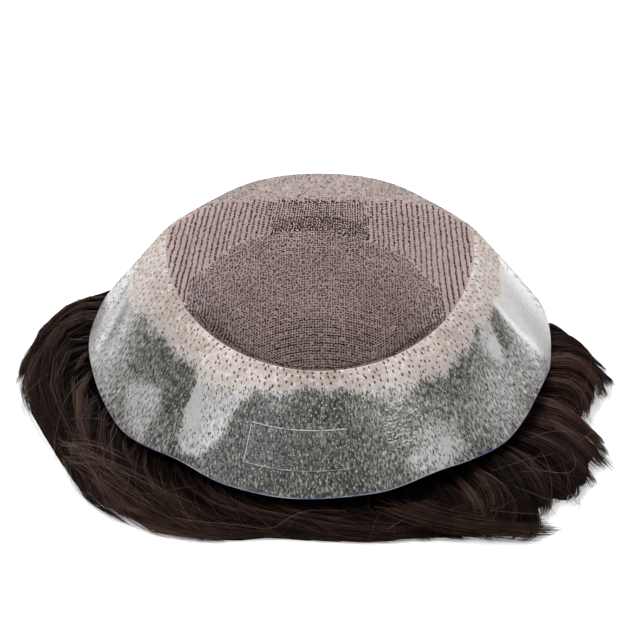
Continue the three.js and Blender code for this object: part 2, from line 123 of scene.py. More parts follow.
def plan_point(curve, degrees):
    """Point of a plan curve of two half ellipses, the front one with drooping shoulders."""
    angle = np.radians(degrees)
    across, along = np.cos(angle), np.sin(angle)
    ahead = along > 0
    droop = curve["droop"] * (np.sin(2 * angle) * across) ** 2 * ahead
    reach = np.where(ahead, curve["front"] - curve["widest_y"], curve["back"] + curve["widest_y"])
    x = curve["half_width"] * across * np.abs(across) ** droop
    return x, curve["widest_y"] + reach * np.sign(along) * np.abs(along) ** (1 + droop)


def turn_from(degrees, middle):
    """Signed angle from a middle, the short way round."""
    return (degrees - middle + 180) % 360 - 180


def wave_lift(degrees, skirt_share):
    lift = np.zeros(np.broadcast(degrees, skirt_share).shape)
    for wave in SKIRT_WAVES:
        away = np.abs(turn_from(degrees, wave["at"])) / wave["half_width"]
        lift = lift + wave["lift"] * np.cos(np.clip(away, 0, 1) * np.pi / 2) ** 2
    return WAVE_HEIGHT * lift * smooth(skirt_share)


def base_point(degrees, share):
    """Point of the scalp side at an angle and a share: 0 bowl middle, 1 crest, 2 outer edge."""
    degrees, share = np.broadcast_arrays(np.asarray(degrees, float), np.asarray(share, float))
    crest_x, crest_y = plan_point(CREST, degrees)
    edge_x, edge_y = plan_point(EDGE, degrees)
    crest_z = CREST_HEIGHT + CREST_FRONT_RISE * np.clip(np.sin(np.radians(degrees)), 0, None) ** 2
    bowl_z = CREST_HEIGHT - BOWL_DEPTH
    inner, out = np.clip(share, 0, 1), np.clip(share - 1, 0, None)
    full_drop = math.hypot(1, CREST_ROUNDING) - CREST_ROUNDING
    drop = (np.hypot(out, CREST_ROUNDING) - CREST_ROUNDING) / full_drop
    x = crest_x * inner + (edge_x - crest_x) * out
    y = BOWL_LOWEST_Y + (crest_y - BOWL_LOWEST_Y) * inner + (edge_y - crest_y) * out
    z = bowl_z + (crest_z - bowl_z) * smooth(inner**2) + (EDGE_HEIGHT - crest_z) * drop
    return np.stack([x, y, z + wave_lift(degrees, out)], -1) + BASE_MIDDLE


def base_normal(degrees, share):
    """Direction square to the base, pointing to the scalp side."""
    share = np.maximum(share, 0.02)
    outward = base_point(degrees, share + 0.01) - base_point(degrees, share - 0.01)
    around = base_point(degrees + 0.5, share) - base_point(degrees - 0.5, share)
    normal = np.cross(outward, around)
    return normal / np.linalg.norm(normal, axis=-1, keepdims=True)


def last_share(degrees, inside):
    """Share, found by halving, at which lines out from the bowl's middle stop being inside."""
    low, high = np.zeros_like(degrees), np.ones_like(degrees)
    for _ in range(30):
        middle = (low + high) / 2
        x, y, _ = np.moveaxis(base_point(degrees, middle) - BASE_MIDDLE, -1, 0)
        within = inside(x, y)
        low, high = np.where(within, middle, low), np.where(within, high, middle)
    return low


def under_arch(x, y):
    forward = np.clip(y - ARCH_SPRING_Y, 0, None) / (ARCH_FRONT_Y - ARCH_SPRING_Y)
    return np.hypot((x - ARCH_SHIFT_X) / ARCH_HALF_WIDTH, forward) < 1


def arch_share(degrees):
    return last_share(degrees, under_arch)


def crown_edge(degrees):
    return np.minimum(arch_share(degrees), CREST_SHARE) - PANEL_GAP


def bowl_place(x, y):
    """Angle and share of points of the bowl, from their place in plan about the base's middle."""
    degrees = np.linspace(0, 360, 1441)
    crest_x, crest_y = plan_point(CREST, degrees)
    bearing = np.unwrap(np.arctan2(crest_y - BOWL_LOWEST_Y, crest_x))
    wanted = np.arctan2(y - BOWL_LOWEST_Y, x)
    wanted = np.where(wanted < bearing[0], wanted + 2 * np.pi, wanted)
    found = np.interp(wanted, bearing, degrees)
    found_x, found_y = plan_point(CREST, found)
    return found, np.hypot(x, y - BOWL_LOWEST_Y) / np.hypot(found_x, found_y - BOWL_LOWEST_Y)


def add_piece(name, points, faces, material, tints=None, sheet=False):
    """A mesh piece of the hairpiece. Its material reads one or three numbers a point from tints."""
    mesh = bpy.data.meshes.new(name)
    mesh.from_pydata(points.reshape(-1, 3), [], [face for part in faces for face in part.tolist()])
    mesh.polygons.foreach_set("use_smooth", np.ones(len(mesh.polygons), bool))
    if tints is not None:
        values = np.ones((len(mesh.vertices), 4))
        values[:, :3] = tints.reshape(len(values), -1)
        layer = mesh.color_attributes.new("tint", "FLOAT_COLOR", "POINT")
        layer.data.foreach_set("color", values.ravel())
    if sheet:
        mesh.set_sharp_from_angle(angle=math.radians(50))
    mesh.materials.append(material)
    piece = bpy.data.objects.new(name, mesh)
    bpy.context.scene.collection.objects.link(piece)
    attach(piece, "root")
    return piece


def weld(piece):
    """Joins points that lie on each other, as in the middle of a round panel."""
    edit = bmesh.new()
    edit.from_mesh(piece.data)
    bmesh.ops.remove_doubles(edit, verts=edit.verts, dist=1e-6)
    edit.to_mesh(piece.data)
    edit.free()


def quads(*corners):
    return np.stack(corners, -1).reshape(-1, 4)


def shell_faces(lines, rows, goes_round=False, has_hole=True):
    """Faces of a closed shell with an upper and a lower layer, its points by line, layer and row."""
    corner = np.arange(lines * 2 * rows).reshape(lines, 2, rows)
    after = np.roll(corner, -1, axis=0)
    if not goes_round:
        start, end = corner[0], corner[-1]
        corner, after = corner[:-1], after[:-1]
    upper, lower, next_upper, next_lower = corner[:, 0], corner[:, 1], after[:, 0], after[:, 1]
    faces = [
        quads(upper[:, :-1], upper[:, 1:], next_upper[:, 1:], next_upper[:, :-1]),
        quads(lower[:, :-1], next_lower[:, :-1], next_lower[:, 1:], lower[:, 1:]),
    ]
    if has_hole:
        faces.append(quads(upper[:, 0], next_upper[:, 0], next_lower[:, 0], lower[:, 0]))
    faces.append(quads(upper[:, -1], lower[:, -1], next_lower[:, -1], next_upper[:, -1]))
    if not goes_round:
        faces.append(quads(start[0, :-1], start[1, :-1], start[1, 1:], start[0, 1:]))
        faces.append(quads(end[0, :-1], end[0, 1:], end[1, 1:], end[1, :-1]))
    return faces


def panel(first, last, lines, rows, columns, thickness, lift=0.0):
    """A closed sheet on the base, through lines of shares with rows between them.

    Gives its points and faces, and the angles and shares of its upper points.
    """
    goes_round = last - first == 360
    degrees = np.linspace(first, last, columns + 1)[: columns if goes_round else None]
    at_lines = [(line(degrees) if callable(line) else line) + np.zeros((1, degrees.size)) for line in lines]
    shares = [at_lines[0].T]
    for start, end, count in zip(at_lines, at_lines[1:], rows):
        steps = np.arange(1, count + 1) / count
        shares.append(start.T * (1 - steps) + end.T * steps)
    degrees, shares = degrees[:, None], np.concatenate(shares, axis=1)
    normals = base_normal(degrees, shares)
    top = base_point(degrees, shares) + normals * lift
    points = np.stack([top, top - normals * thickness], axis=1)
    return points, shell_faces(*shares.shape, goes_round), degrees, shares


def beads(places, normals, lengthwise, length, width, height, sides=6):
    """Points and faces of small knots: a ring of points with one above and one below."""
    turns = np.arange(sides) * 2 * np.pi / sides
    side = np.cross(normals, lengthwise)
    side /= np.linalg.norm(side, axis=-1, keepdims=True)
    ahead = np.cross(side, normals)
    ring = (
        np.cos(turns)[None, :, None] * ahead[:, None] * length[:, None, None]
        + np.sin(turns)[None, :, None] * side[:, None] * width[:, None, None]
    )
    middle = places[:, None]
    up = (normals * height[:, None])[:, None]
    points = np.concatenate([middle + ring, middle + up, middle - up], axis=1)
    start = np.arange(len(places))[:, None, None] * (sides + 2)
    j = np.arange(sides)
    after = (j + 1) % sides
    above = np.stack([j, after, np.full(sides, sides)], -1)[None] + start
    below = np.stack([after, j, np.full(sides, sides + 1)], -1)[None] + start
    return points, [np.concatenate([above, below], axis=1).reshape(-1, 3)]


class Finish:
    """A material in the making, with the nodes that work out its values from a point's own place."""

    def __init__(self, name, roughness):
        self.material = bpy.data.materials.new(name)
        self.material.use_nodes = True
        self.nodes, self.links = self.material.node_tree.nodes, self.material.node_tree.links
        self.shader = self.nodes["Principled BSDF"]
        self.put(self.shader, {"Roughness": roughness})

    def put(self, node, inputs):
        for key, value in dict(inputs).items():
            if isinstance(value, bpy.types.NodeSocket):
                self.links.new(value, node.inputs[key])
            else:
                node.inputs[key].default_value = value

    def node(self, kind, inputs=(), **settings):
        node = self.nodes.new("ShaderNode" + kind)
        for key, value in settings.items():
            setattr(node, key, value)
        self.put(node, inputs)
        return node

    def place(self):
        return self.node("TexCoord").outputs["Object"]

    def stored(self, name, output="Fac"):
        """What the mesh stores at a point under a name."""
        return self.node("Attribute", attribute_name=name).outputs[output]

    def noise(self, scale, detail, place=None):
        place = self.place() if place is None else place
        return self.node("TexNoise", {"Vector": place, "Scale": scale, "Detail": detail}).outputs[0]

    def math(self, operation, *values):
        return self.node("Math", enumerate(values), operation=operation).outputs[0]

    def swing(self, value, size):
        """Turns a value between 0 and 1 into one about 0."""
        return self.math("MULTIPLY_ADD", value, size, -size / 2)

    def spread(self, value, low, high, to_low=0.0, to_high=1.0):
        """Takes the range from low to high to another one, and holds it there."""
        return self.node("MapRange", enumerate((value, low, high, to_low, to_high))).outputs[0]

    def waves(self, value, pitch):
        """Goes from 0 to 1 and back once in each pitch of a value."""
        turn = self.math("MULTIPLY", value, 2 * math.pi / pitch)
        return self.math("MULTIPLY_ADD", self.math("SINE", turn), 0.5, 0.5)

    def mix(self, factor, first, second):
        node = self.node("Mix", data_type="RGBA", blend_type="MIX")
        self.put(node, {0: factor, 6: first, 7: second})
        return node.outputs[2]

    def scale(self, colour, strength):
        return self.node("VectorMath", {0: colour, "Scale": strength}, operation="SCALE").outputs[0]

    def bump(self, height, distance, strength):
        inputs = {"Height": height, "Distance": distance, "Strength": strength}
        return self.node("Bump", inputs).outputs[0]

    def done(self, inputs):
        self.put(self.shader, inputs)
        return self.material


def net_material(name, thread_colour, gap_colour, shade_colour, mottle):
    """Fine net: threads both ways with darker holes between, mottled, with painted shade where tint is low.
    """
    net = Finish(name, 0.9)
    place = net.place()
    x, y = net.node("SeparateXYZ", {0: place}).outputs[:2]
    thread = net.math("MAXIMUM", net.waves(x, NET_PITCH), net.waves(y, NET_PITCH))
    shaded = net.mix(net.stored("tint"), shade_colour, net.mix(thread, gap_colour, thread_colour))
    uneven = net.spread(net.noise(620, 4, place), 0.35, 0.65, 1 - mottle, 1 + mottle)
    patchy = net.spread(net.noise(75, 4, place), 0.3, 0.7, 0.9, 1.1)
    return net.done({
        "Base Color": net.scale(shaded, net.math("MULTIPLY", uneven, patchy)),
        "Normal": net.bump(thread, 0.0002, 0.8),
        "Sheen Weight": 0.15,
        "Sheen Roughness": 0.5,
        "Specular IOR Level": 0.15,
    })


def knot_material(name, colour, shine=0.2, faded=None):
    """Hair tied or injected: dark, here and there a little lighter. A faded one goes pale with tint."""
    knot = Finish(name, 0.6)
    lighter = tuple(min(1, c * 2.6) for c in colour[:3]) + (1,)
    hue = knot.mix(knot.spread(knot.noise(900, 2), 0.45, 0.7), colour, lighter)
    if faded:
        hue = knot.mix(knot.stored("tint"), hue, faded)
    return knot.done({"Base Color": hue, "Specular IOR Level": shine})


def lay_knots(
    name, degrees, share, lean, size, material, draw, sides=6, tints=None, flat=0.4, scale=1.0
):
    """Knots on the base, each a little different. size gives length and width, lean which way."""
    places, normals = base_point(degrees, share), base_normal(degrees, share)
    lengths = size[0] * scale * draw.uniform(0.75, 1.3, degrees.size)
    widths = size[1] * scale * draw.uniform(0.75, 1.25, degrees.size)
    points, faces = beads(places, normals, lean, lengths / 2, widths / 2, widths * flat, sides)
    if tints is not None:
        tints = np.repeat(tints, sides + 2)
    return add_piece(name, points, faces, material, tints)


def lean_ahead(sideways):
    """Directions towards the front, each turned sideways by its own amount."""
    return np.stack([sideways, np.ones(sideways.size), np.zeros(sideways.size)], -1)


points, faces, degrees, shares = panel(
    0, 360, [0, crown_edge], rows=[32], columns=180, thickness=NET_THICKNESS
)
crown_material = net_material(
    "crown_net_knit", CROWN_THREAD_COLOUR, CROWN_GAP_COLOUR, CROWN_SHADE_COLOUR, mottle=0.12
)
# Painted shade: the crown net darkens towards the nape, where the bowl's near side lies in shade, and
# lightens towards the arch.
to_arch = smooth((shares / crown_edge(degrees) - ARCH_PALE_FROM) / (1 - ARCH_PALE_FROM))
to_arch = to_arch * (arch_share(degrees) < 0.999)
from_nape = points[..., 1] - BASE_MIDDLE[1] - CROWN_SHADE["nape_y"]
crown_painted_shade = CROWN_SHADE["most"] * smooth(from_nape / CROWN_SHADE["over"])
crown_painted_shade = crown_painted_shade + (CROWN_SHADE["at_arch"] - crown_painted_shade) * to_arch[:, None]
crown_net = add_piece("crown_net_panel", points, faces, crown_material, crown_painted_shade, sheet=True)
weld(crown_net)
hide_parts("crown_net")


def sight_height(x, y):
    """How far up points of the bowl stand for someone who looks into it from the back and above."""
    degrees, share = bowl_place(x, y)
    height = base_point(degrees, np.minimum(share, 1))[..., 2]
    return y * math.sin(VIEW_ELEVATION) + height * math.cos(VIEW_ELEVATION), height


draw = np.random.default_rng(11)
columns = np.arange(*CROWN_KNOT_AREA["x"], CROWN_KNOT_SPACING)
fine_y = np.linspace(*CROWN_KNOT_AREA["y"], 500)
x, y = np.meshgrid(columns, fine_y, indexing="ij")
sight, height = sight_height(x, y)
sight = sight + x**2 / (2 * CROWN_ROW_RADIUS)
run = np.hypot(np.diff(y), np.diff(height))
steps = np.maximum(np.diff(sight), CROWN_ROW_STRETCH * run)
level = np.concatenate([sight[:, -1:] - np.cumsum(steps[:, ::-1], axis=1)[:, ::-1], sight[:, -1:]], axis=1)
rows = np.arange(level.min(), level.max(), CROWN_KNOT_SPACING)
y = np.concatenate([np.interp(rows, level[i], fine_y) for i in range(columns.size)])
slope = np.concatenate([np.interp(rows, level[i, 1:], run[i] / steps[i]) for i in range(columns.size)])
x = np.repeat(columns, rows.size)
heavy = np.tile(np.arange(rows.size) % CROWN_HEAVY_ROW["every"] == 0, columns.size)
fading = smooth((CROWN_HEAVY_ROW["to_y"] - y) / (CROWN_HEAVY_ROW["to_y"] - CROWN_HEAVY_ROW["from_y"]))
weight = 1 + (CROWN_HEAVY_ROW["size"] * heavy + CROWN_HEAVY_ROW["others"]) * fading
ahead = smooth((y - CROWN_SCATTER["from_y"]) / (CROWN_SCATTER["to_y"] - CROWN_SCATTER["from_y"]))
scatter = CROWN_SCATTER["nape"] + (CROWN_SCATTER["arch"] - CROWN_SCATTER["nape"]) * ahead
aside = CROWN_SCATTER["sides"] * smooth(np.abs(x) / CROWN_SCATTER["side_x"] - 1)
x = x + draw.normal(0, 1, x.size) * (scatter + aside)
y = y + draw.normal(0, 1, x.size) * scatter * slope
degrees, share = bowl_place(x, y)
tied = draw.random(x.size) < CROWN_KNOTS_TIED
last = np.minimum(arch_share(degrees) + CROWN_KNOT_REACH["past_arch"], CROWN_KNOT_REACH["crest"])
kept = tied & (share < last)
degrees, share, weight, slope = degrees[kept], share[kept], weight[kept], slope[kept]
lean = lean_ahead(draw.normal(0, CROWN_KNOT_LEAN, degrees.size))
size = (CROWN_KNOT_SPACING * slope * CROWN_KNOT_FILL, CROWN_KNOT_WIDTH)
knot_hair = knot_material("knotted_hair", KNOT_COLOUR, KNOT_SHINE)
lay_knots("crown_knots", degrees, share, lean, size, knot_hair, draw, scale=weight)

# Top net
# A coarser, paler net goes round the crown panel's arch. Its hairs are knotted in long rows from front
# to back that draw together towards the front, and twice as close in a block in front of the arch,
# where the hair is thickest.
SEAM_GAP = 0.0003
TOP_THREAD_COLOUR = (0.45, 0.343, 0.32, 1)
TOP_GAP_COLOUR = (0.27, 0.197, 0.18, 1)
TOP_SHADE_COLOUR = (0.28, 0.2, 0.18, 1)
TOP_KNOT_COLOUR = (0.02, 0.0135, 0.0115, 1)
TOP_KNOT_AREA = {"x": (-0.062, 0.058), "y": (-0.035, 0.062)}
TOP_KNOT_SPACING = (0.00198, 0.00108)
TOP_KNOT_SIZE = (0.00086, 0.00094)
TOP_KNOT_JITTER = 0.12  # of a knot's width, and of its lean
TOP_ROW_JITTER = 0.00012
TOP_ROW_ENDS = (-0.008, 0.012)  # past the lace seam, as shares
TOP_KNOT_LAST_SHARE = 0.99
SEAM_CLEARANCE = 0.006
TOP_SIDE_SHADE = {"most": 0.8, "from_y": 0.012, "over": 0.04}
ROW_LEAN = {"middle": 0.09, "side": 0.17, "over": 0.02, "from": 0.016, "rise": 0.05}
ROW_WOBBLE = {"size": 0.00006, "turns": 420, "shift": 90}
BLOCK = {"half_width": 0.0185, "from_y": 0.034, "front_y": 0.0562}
BLOCK_MARGIN = {"left": 0.008, "right": 0.004, "front": 0.002}
BLOCK_EDGE = {"soft": 0.001, "front_soft": 0.0006, "front_wave": 0.0012, "waves": 70}
BLOCK_KNOT_SPACING = (0.00112, 0.00096)
BLOCK_KNOT_SIZE = (0.00084, 0.00069)
ARCH_KNOT_COLUMNS = 44
ARCH_KNOT_ROWS = 6
ARCH_KNOT_PITCH = 0.00078
ARCH_KNOT_SIZE = (0.00084, 0.00054)
ARCH_KNOT_START = 0.0004
ARCH_KNOT_JITTER = (0.00016, 0.00012)
ARCH_KNOT_LEAN = (-0.35, 0.2)
LACE_SEAM_Y = 0.0567
LACE_SEAM_RADIUS = 0.11


def behind_lace(x, y):
    return y < LACE_SEAM_Y - x**2 / (2 * LACE_SEAM_RADIUS)


def lace_share(degrees):
    """Share of the seam between the top net and the lace, no further than the crest."""
    share = last_share(degrees, behind_lace)
    return np.where(share > 0.999, CREST_SHARE, share)


def top_start(degrees):
    return arch_share(degrees) + PANEL_GAP


def top_end(degrees):
    return np.maximum(lace_share(degrees) - PANEL_GAP, top_start(degrees) + PANEL_GAP)


def arch_foot(half_width):
    """Angle past the bowl's side at which the arch reaches the crest."""
    return math.degrees(math.acos((half_width + 3 * SEAM_GAP) / CREST["half_width"]))


def rows_of_knots(columns, first_y, last_y, spacing, draw):
    """Places and leans of knots along rows that start at columns and lean over towards the front."""
    fine_y = np.linspace(first_y, last_y, 600)
    y = np.repeat(fine_y[None], columns.size, axis=0)
    start = np.repeat(columns[:, None], fine_y.size, axis=1)
    lean = ROW_LEAN["middle"] - ROW_LEAN["side"] * np.tanh(start / ROW_LEAN["over"])
    wave = draw.uniform(0, 6, (columns.size, 1))
    x = start
    for _ in range(8):
        sight, height = sight_height(x, y)
        x = start + lean * np.clip(sight - ROW_LEAN["from"], 0, None) ** 2 / (2 * ROW_LEAN["rise"])
        x = x + ROW_WOBBLE["size"] * np.sin(y * ROW_WOBBLE["turns"] + wave + start * ROW_WOBBLE["shift"])
    run = np.hypot(np.hypot(np.diff(x), np.diff(y)), np.diff(height))
    run = np.concatenate([np.zeros((columns.size, 1)), np.cumsum(run, axis=1)], axis=1)
    leans = np.gradient(x, fine_y, axis=1)
    places = []
    for row in range(columns.size):
        at = np.arange(draw.uniform(0, spacing), run[row, -1], spacing)
        at = at + draw.normal(0, spacing * 0.1, at.size)
        places.append([np.interp(at, run[row], line[row]) for line in (x, y, leans)])
    return np.concatenate(places, axis=1)


TOP_NET_FROM = -arch_foot(ARCH_HALF_WIDTH + ARCH_SHIFT_X)
TOP_NET_TO = 180 + arch_foot(ARCH_HALF_WIDTH - ARCH_SHIFT_X)
points, faces, _, _ = panel(
    TOP_NET_FROM, TOP_NET_TO, [top_start, top_end], rows=[16], columns=180, thickness=NET_THICKNESS
)
top_material = net_material(
    "top_net_knit", TOP_THREAD_COLOUR, TOP_GAP_COLOUR, TOP_SHADE_COLOUR, mottle=0.12
)
# Painted shade: the top net darkens towards the back, at its sides.
behind = (TOP_SIDE_SHADE["from_y"] - points[..., 1]) / TOP_SIDE_SHADE["over"]
top_side_painted_shade = 1 - TOP_SIDE_SHADE["most"] * smooth(behind)
top_net = add_piece("top_net_panel", points, faces, top_material, top_side_painted_shade, sheet=True)
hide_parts("top_net")

draw = np.random.default_rng(12)
top_knot_hair = knot_material("top_knotted_hair", TOP_KNOT_COLOUR, KNOT_SHINE)
columns = np.arange(*TOP_KNOT_AREA["x"], TOP_KNOT_SPACING[0])
columns = columns + draw.normal(0, TOP_ROW_JITTER, columns.size)
x, y, leans = rows_of_knots(columns, *TOP_KNOT_AREA["y"], TOP_KNOT_SPACING[1], draw)
outside = (np.abs(x) > BLOCK["half_width"]) | (y > BLOCK["front_y"] - BLOCK_EDGE["front_soft"])
parts = [(x[outside], y[outside], leans[outside], TOP_KNOT_SIZE, "top_knots")]
first_x, last_x = -BLOCK["half_width"] - BLOCK_MARGIN["left"], BLOCK["half_width"] + BLOCK_MARGIN["right"]
columns = np.arange(first_x, last_x, BLOCK_KNOT_SPACING[0])
last_y = BLOCK["front_y"] + BLOCK_MARGIN["front"]
x, y, leans = rows_of_knots(columns, BLOCK["from_y"], last_y, BLOCK_KNOT_SPACING[1], draw)
soft_edge = BLOCK["half_width"] + draw.normal(0, BLOCK_EDGE["soft"], x.size)
soft_front = BLOCK["front_y"] + BLOCK_EDGE["front_wave"] * np.cos(x * BLOCK_EDGE["waves"])
soft_front = soft_front + draw.normal(0, BLOCK_EDGE["front_soft"], x.size)
inside = (np.abs(x) < soft_edge) & (y < soft_front)
parts.append((x[inside], y[inside], leans[inside], BLOCK_KNOT_SIZE, "top_block_knots"))
for x, y, leans, size, name in parts:
    x = x + draw.normal(0, TOP_KNOT_JITTER, x.size) * size[1]
    degrees, share = bowl_place(x, y)
    ends = np.minimum(lace_share(degrees) + draw.uniform(*TOP_ROW_ENDS, degrees.size), TOP_KNOT_LAST_SHARE)
    kept = (share > arch_share(degrees) + SEAM_CLEARANCE) & (share < ends)
    degrees, share, leans = degrees[kept], share[kept], leans[kept]
    lean = lean_ahead(leans + draw.normal(0, TOP_KNOT_JITTER, leans.size))
    lay_knots(name, degrees, share, lean, size, top_knot_hair, draw)

column, row = np.meshgrid(np.arange(ARCH_KNOT_COLUMNS), np.arange(ARCH_KNOT_ROWS))
column, row = column.ravel() + 0.5 * (row.ravel() % 2), row.ravel()
arch_x = BLOCK["half_width"] * (2 * column / ARCH_KNOT_COLUMNS - 1)
arch_x = arch_x + draw.normal(0, ARCH_KNOT_JITTER[0], row.size)
arch_y = np.sqrt(1 - ((arch_x - ARCH_SHIFT_X) / ARCH_HALF_WIDTH) ** 2)
arch_y = ARCH_SPRING_Y + (ARCH_FRONT_Y - ARCH_SPRING_Y) * arch_y + ARCH_KNOT_START
arch_y = arch_y + row * ARCH_KNOT_PITCH + draw.normal(0, ARCH_KNOT_JITTER[1], row.size)
degrees, share = bowl_place(arch_x, np.minimum(arch_y, BLOCK["front_y"]))
lean = lean_ahead(draw.normal(*ARCH_KNOT_LEAN, row.size))
lay_knots("arch_knots", degrees, share, lean, ARCH_KNOT_SIZE, top_knot_hair, draw)

# The two nets are joined along the arch by a zigzag of pale thread that is pulled in between the knots.
SEAM_STITCH_COUNT = 210
SEAM_STITCH_SIZE = (0.001, 0.00032)
SEAM_STITCH_COLOUR = (0.43, 0.345, 0.325, 1)
SEAM_ZIGZAG = {"share": 0.007, "last": 0.985, "lean_degrees": 0.6, "lean_share": 0.01}
degrees = np.linspace(TOP_NET_FROM + 1, TOP_NET_TO - 1, SEAM_STITCH_COUNT)
turn = np.where(np.arange(SEAM_STITCH_COUNT) % 2, 1.0, -1.0)
share = np.minimum(arch_share(degrees) + SEAM_ZIGZAG["share"] * turn, SEAM_ZIGZAG["last"])
lean = base_point(degrees + SEAM_ZIGZAG["lean_degrees"], share - SEAM_ZIGZAG["lean_share"] * turn)
lean = lean - base_point(degrees, share)
seam_thread = knot_material("arch_seam_thread", SEAM_STITCH_COLOUR)
lay_knots("arch_seam_stitches", degrees, share, lean, SEAM_STITCH_SIZE, seam_thread, draw)

# Front lace
# The front is a finer, paler lace that goes over the crest and down to the hairline, where it has
# to vanish on the skin. Its knots are bleached, so they only mottle it.
EDGE_SHARE = 2
LACE_RIGHT_END = 28
LACE_LEFT_END = 152
LACE_THREAD_COLOUR = (0.43, 0.35, 0.325, 1)
LACE_GAP_COLOUR = (0.28, 0.226, 0.207, 1)
LACE_SHADE_COLOUR = (0.3, 0.26, 0.235, 1)
LACE_KNOT_COLOUR = (0.12, 0.082, 0.07, 1)
LACE_KNOT_COUNT = 4300
LACE_KNOT_SIZE = (0.0008, 0.00054)
LACE_KNOT_SHARES = (0.8, 1.985)
LACE_KNOT_MARGIN = 0.6
LACE_CREST_SHADE = {"most": 0.55, "share": 0.985, "over": 0.03}
SEAM_DEGREES = math.degrees(SEAM_GAP / 2 / CREST["half_width"])


def lace_start(degrees):
    return np.minimum(lace_share(degrees) + PANEL_GAP, CREST_SHARE - PANEL_GAP)


def both_layers(values):
    """The same tints for the upper and the lower points of a panel."""
    return np.stack([values, values], axis=1)


points, faces, degrees, shares = panel(
    LACE_RIGHT_END + SEAM_DEGREES, LACE_LEFT_END - SEAM_DEGREES, [lace_start, CREST_SHARE, EDGE_SHARE],
    rows=[8, 26], columns=140, thickness=NET_THICKNESS,
)
lace_material = net_material(
    "front_lace_knit", LACE_THREAD_COLOUR, LACE_GAP_COLOUR, LACE_SHADE_COLOUR, mottle=0.22
)
# Painted shade: the lace darkens along the crest, where it bends over.
from_crest = (shares - LACE_CREST_SHADE["share"]) / LACE_CREST_SHADE["over"]
crest_painted_shade = both_layers(1 - LACE_CREST_SHADE["most"] * np.exp(-(from_crest**2)))
lace = add_piece("front_lace_panel", points, faces, lace_material, crest_painted_shade, sheet=True)
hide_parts("front_lace")

draw = np.random.default_rng(13)
lace_ends = (LACE_RIGHT_END + LACE_KNOT_MARGIN, LACE_LEFT_END - LACE_KNOT_MARGIN)
degrees = draw.uniform(*lace_ends, LACE_KNOT_COUNT)
share = draw.uniform(*LACE_KNOT_SHARES, degrees.size)
kept = share > lace_share(degrees) + SEAM_CLEARANCE
degrees, share = degrees[kept], share[kept]
lean = base_point(degrees, share + 0.01) - base_point(degrees, share)
lace_knot_hair = knot_material("bleached_knot_hair", LACE_KNOT_COLOUR)
lay_knots("lace_knots", degrees, share, lean, LACE_KNOT_SIZE, lace_knot_hair, draw, sides=5, flat=0.2)

# Join band
# Round the sides and back the net's rim is dipped in cream coating where the skin is cast on to it.
# The coating stops in an uneven line, and hairs pass through it two or three millimetres apart.
SKIN_FROM = LACE_LEFT_END + SEAM_DEGREES
SKIN_TO = 360 + LACE_RIGHT_END - SEAM_DEGREES
SKIN_THICKNESS = 0.0006
BAND_WIDTHS = table(
    "at share",
    (150, 0.4), (185, 0.42), (205, 0.34), (222, 0.26), (238, 0.34), (252, 0.22),
    (282, 0.2), (305, 0.3), (330, 0.26), (365, 0.36), (392, 0.36),
)
BAND_WIGGLES = table(
    "every size turn", (31, 0.02, 0.4), (13, 0.016, 2.1), (5.3, 0.012, 4.0), (2.9, 0.006, 1.3)
)
BAND_CREAM = (0.53, 0.468, 0.43, 1)
BAND_FLECK = (0.7, 0.66, 0.63, 1)
BAND_TAN = (0.27, 0.205, 0.178, 1)
BAND_GREY = (0.34, 0.335, 0.32, 1)
BAND_THIN_SHARE = 0.06
BAND_TONES = table(
    "at tone",
    (150, 0.75), (190, 0.82), (205, 0.42), (225, 0.66), (240, 0.75), (252, 0.55), (262, 0.2),
    (272, 0.3), (283, 0.5), (300, 0.65), (315, 0.45), (330, 0.6), (345, 0.7), (392, 0.5),
)
BAND_DOT_SPACING = 0.00275
BAND_DOT_SIZE = (0.00125, 0.00078)
BAND_DOT_SHARES = (1.03, 1.5)
BAND_DOT_JITTER = 0.17
BAND_DOT_ENDS = {"crest": 1.015, "line_varies": 0.02}
BAND_DOT_COLOUR = (0.05, 0.034, 0.028, 1)
BAND_DOT_FADED = (0.27, 0.21, 0.185, 1)
BAND_DOT_FADING = table(
    "at share",
    (150, 0.8), (190, 0.42), (210, 0.3), (232, 0.42), (255, 0.15), (300, 0.1), (330, 0.4), (392, 0.85),
)
BAND_DOT_FADING_VARIES = 0.22
BAND_DOT_MOST_FADED = 0.9
SKIRT_RUN = 0.043  # from the crest to the edge, over the skirt at the back
SKIRT_MARGIN = 0.8  # kept free of hairs at the skirt's ends, in degrees
ROW_CLOSENESS = 0.87  # of staggered rows, as a share of the spacing along them


def read_table(rows, at, column="share"):
    """Smooth value of a table's column at a place, by cubics through its rows."""
    places = np.array([row["at"] for row in rows], float)
    values = np.array([row[column] for row in rows], float)
    index = np.arange(len(rows))
    before, after = np.maximum(index - 1, 0), np.minimum(index + 1, len(rows) - 1)
    slopes = (values[after] - values[before]) / (places[after] - places[before])
    i = np.clip(np.searchsorted(places, at) - 1, 0, len(rows) - 2)
    span = places[i + 1] - places[i]
    t = np.clip((at - places[i]) / span, 0, 1)
    straight = values[i + 1] - values[i]
    bend_in = slopes[i] * span - straight
    bend_out = straight - slopes[i + 1] * span
    return values[i] + t * straight + t * (1 - t) * (bend_in * (1 - t) + bend_out * t)


def read_around(rows, degrees, column="share"):
    return read_table(rows, rows[0]["at"] + (degrees - rows[0]["at"]) % 360, column)


def band_line(degrees):
    """The coating's uneven lower line."""
    line = CREST_SHARE + read_around(BAND_WIDTHS, degrees)
    for wiggle in BAND_WIGGLES:
        line = line + wiggle["size"] * np.sin(2 * np.pi * degrees / wiggle["every"] + wiggle["turn"])
    return line


def band_end(degrees):
    return band_line(degrees) - PANEL_GAP


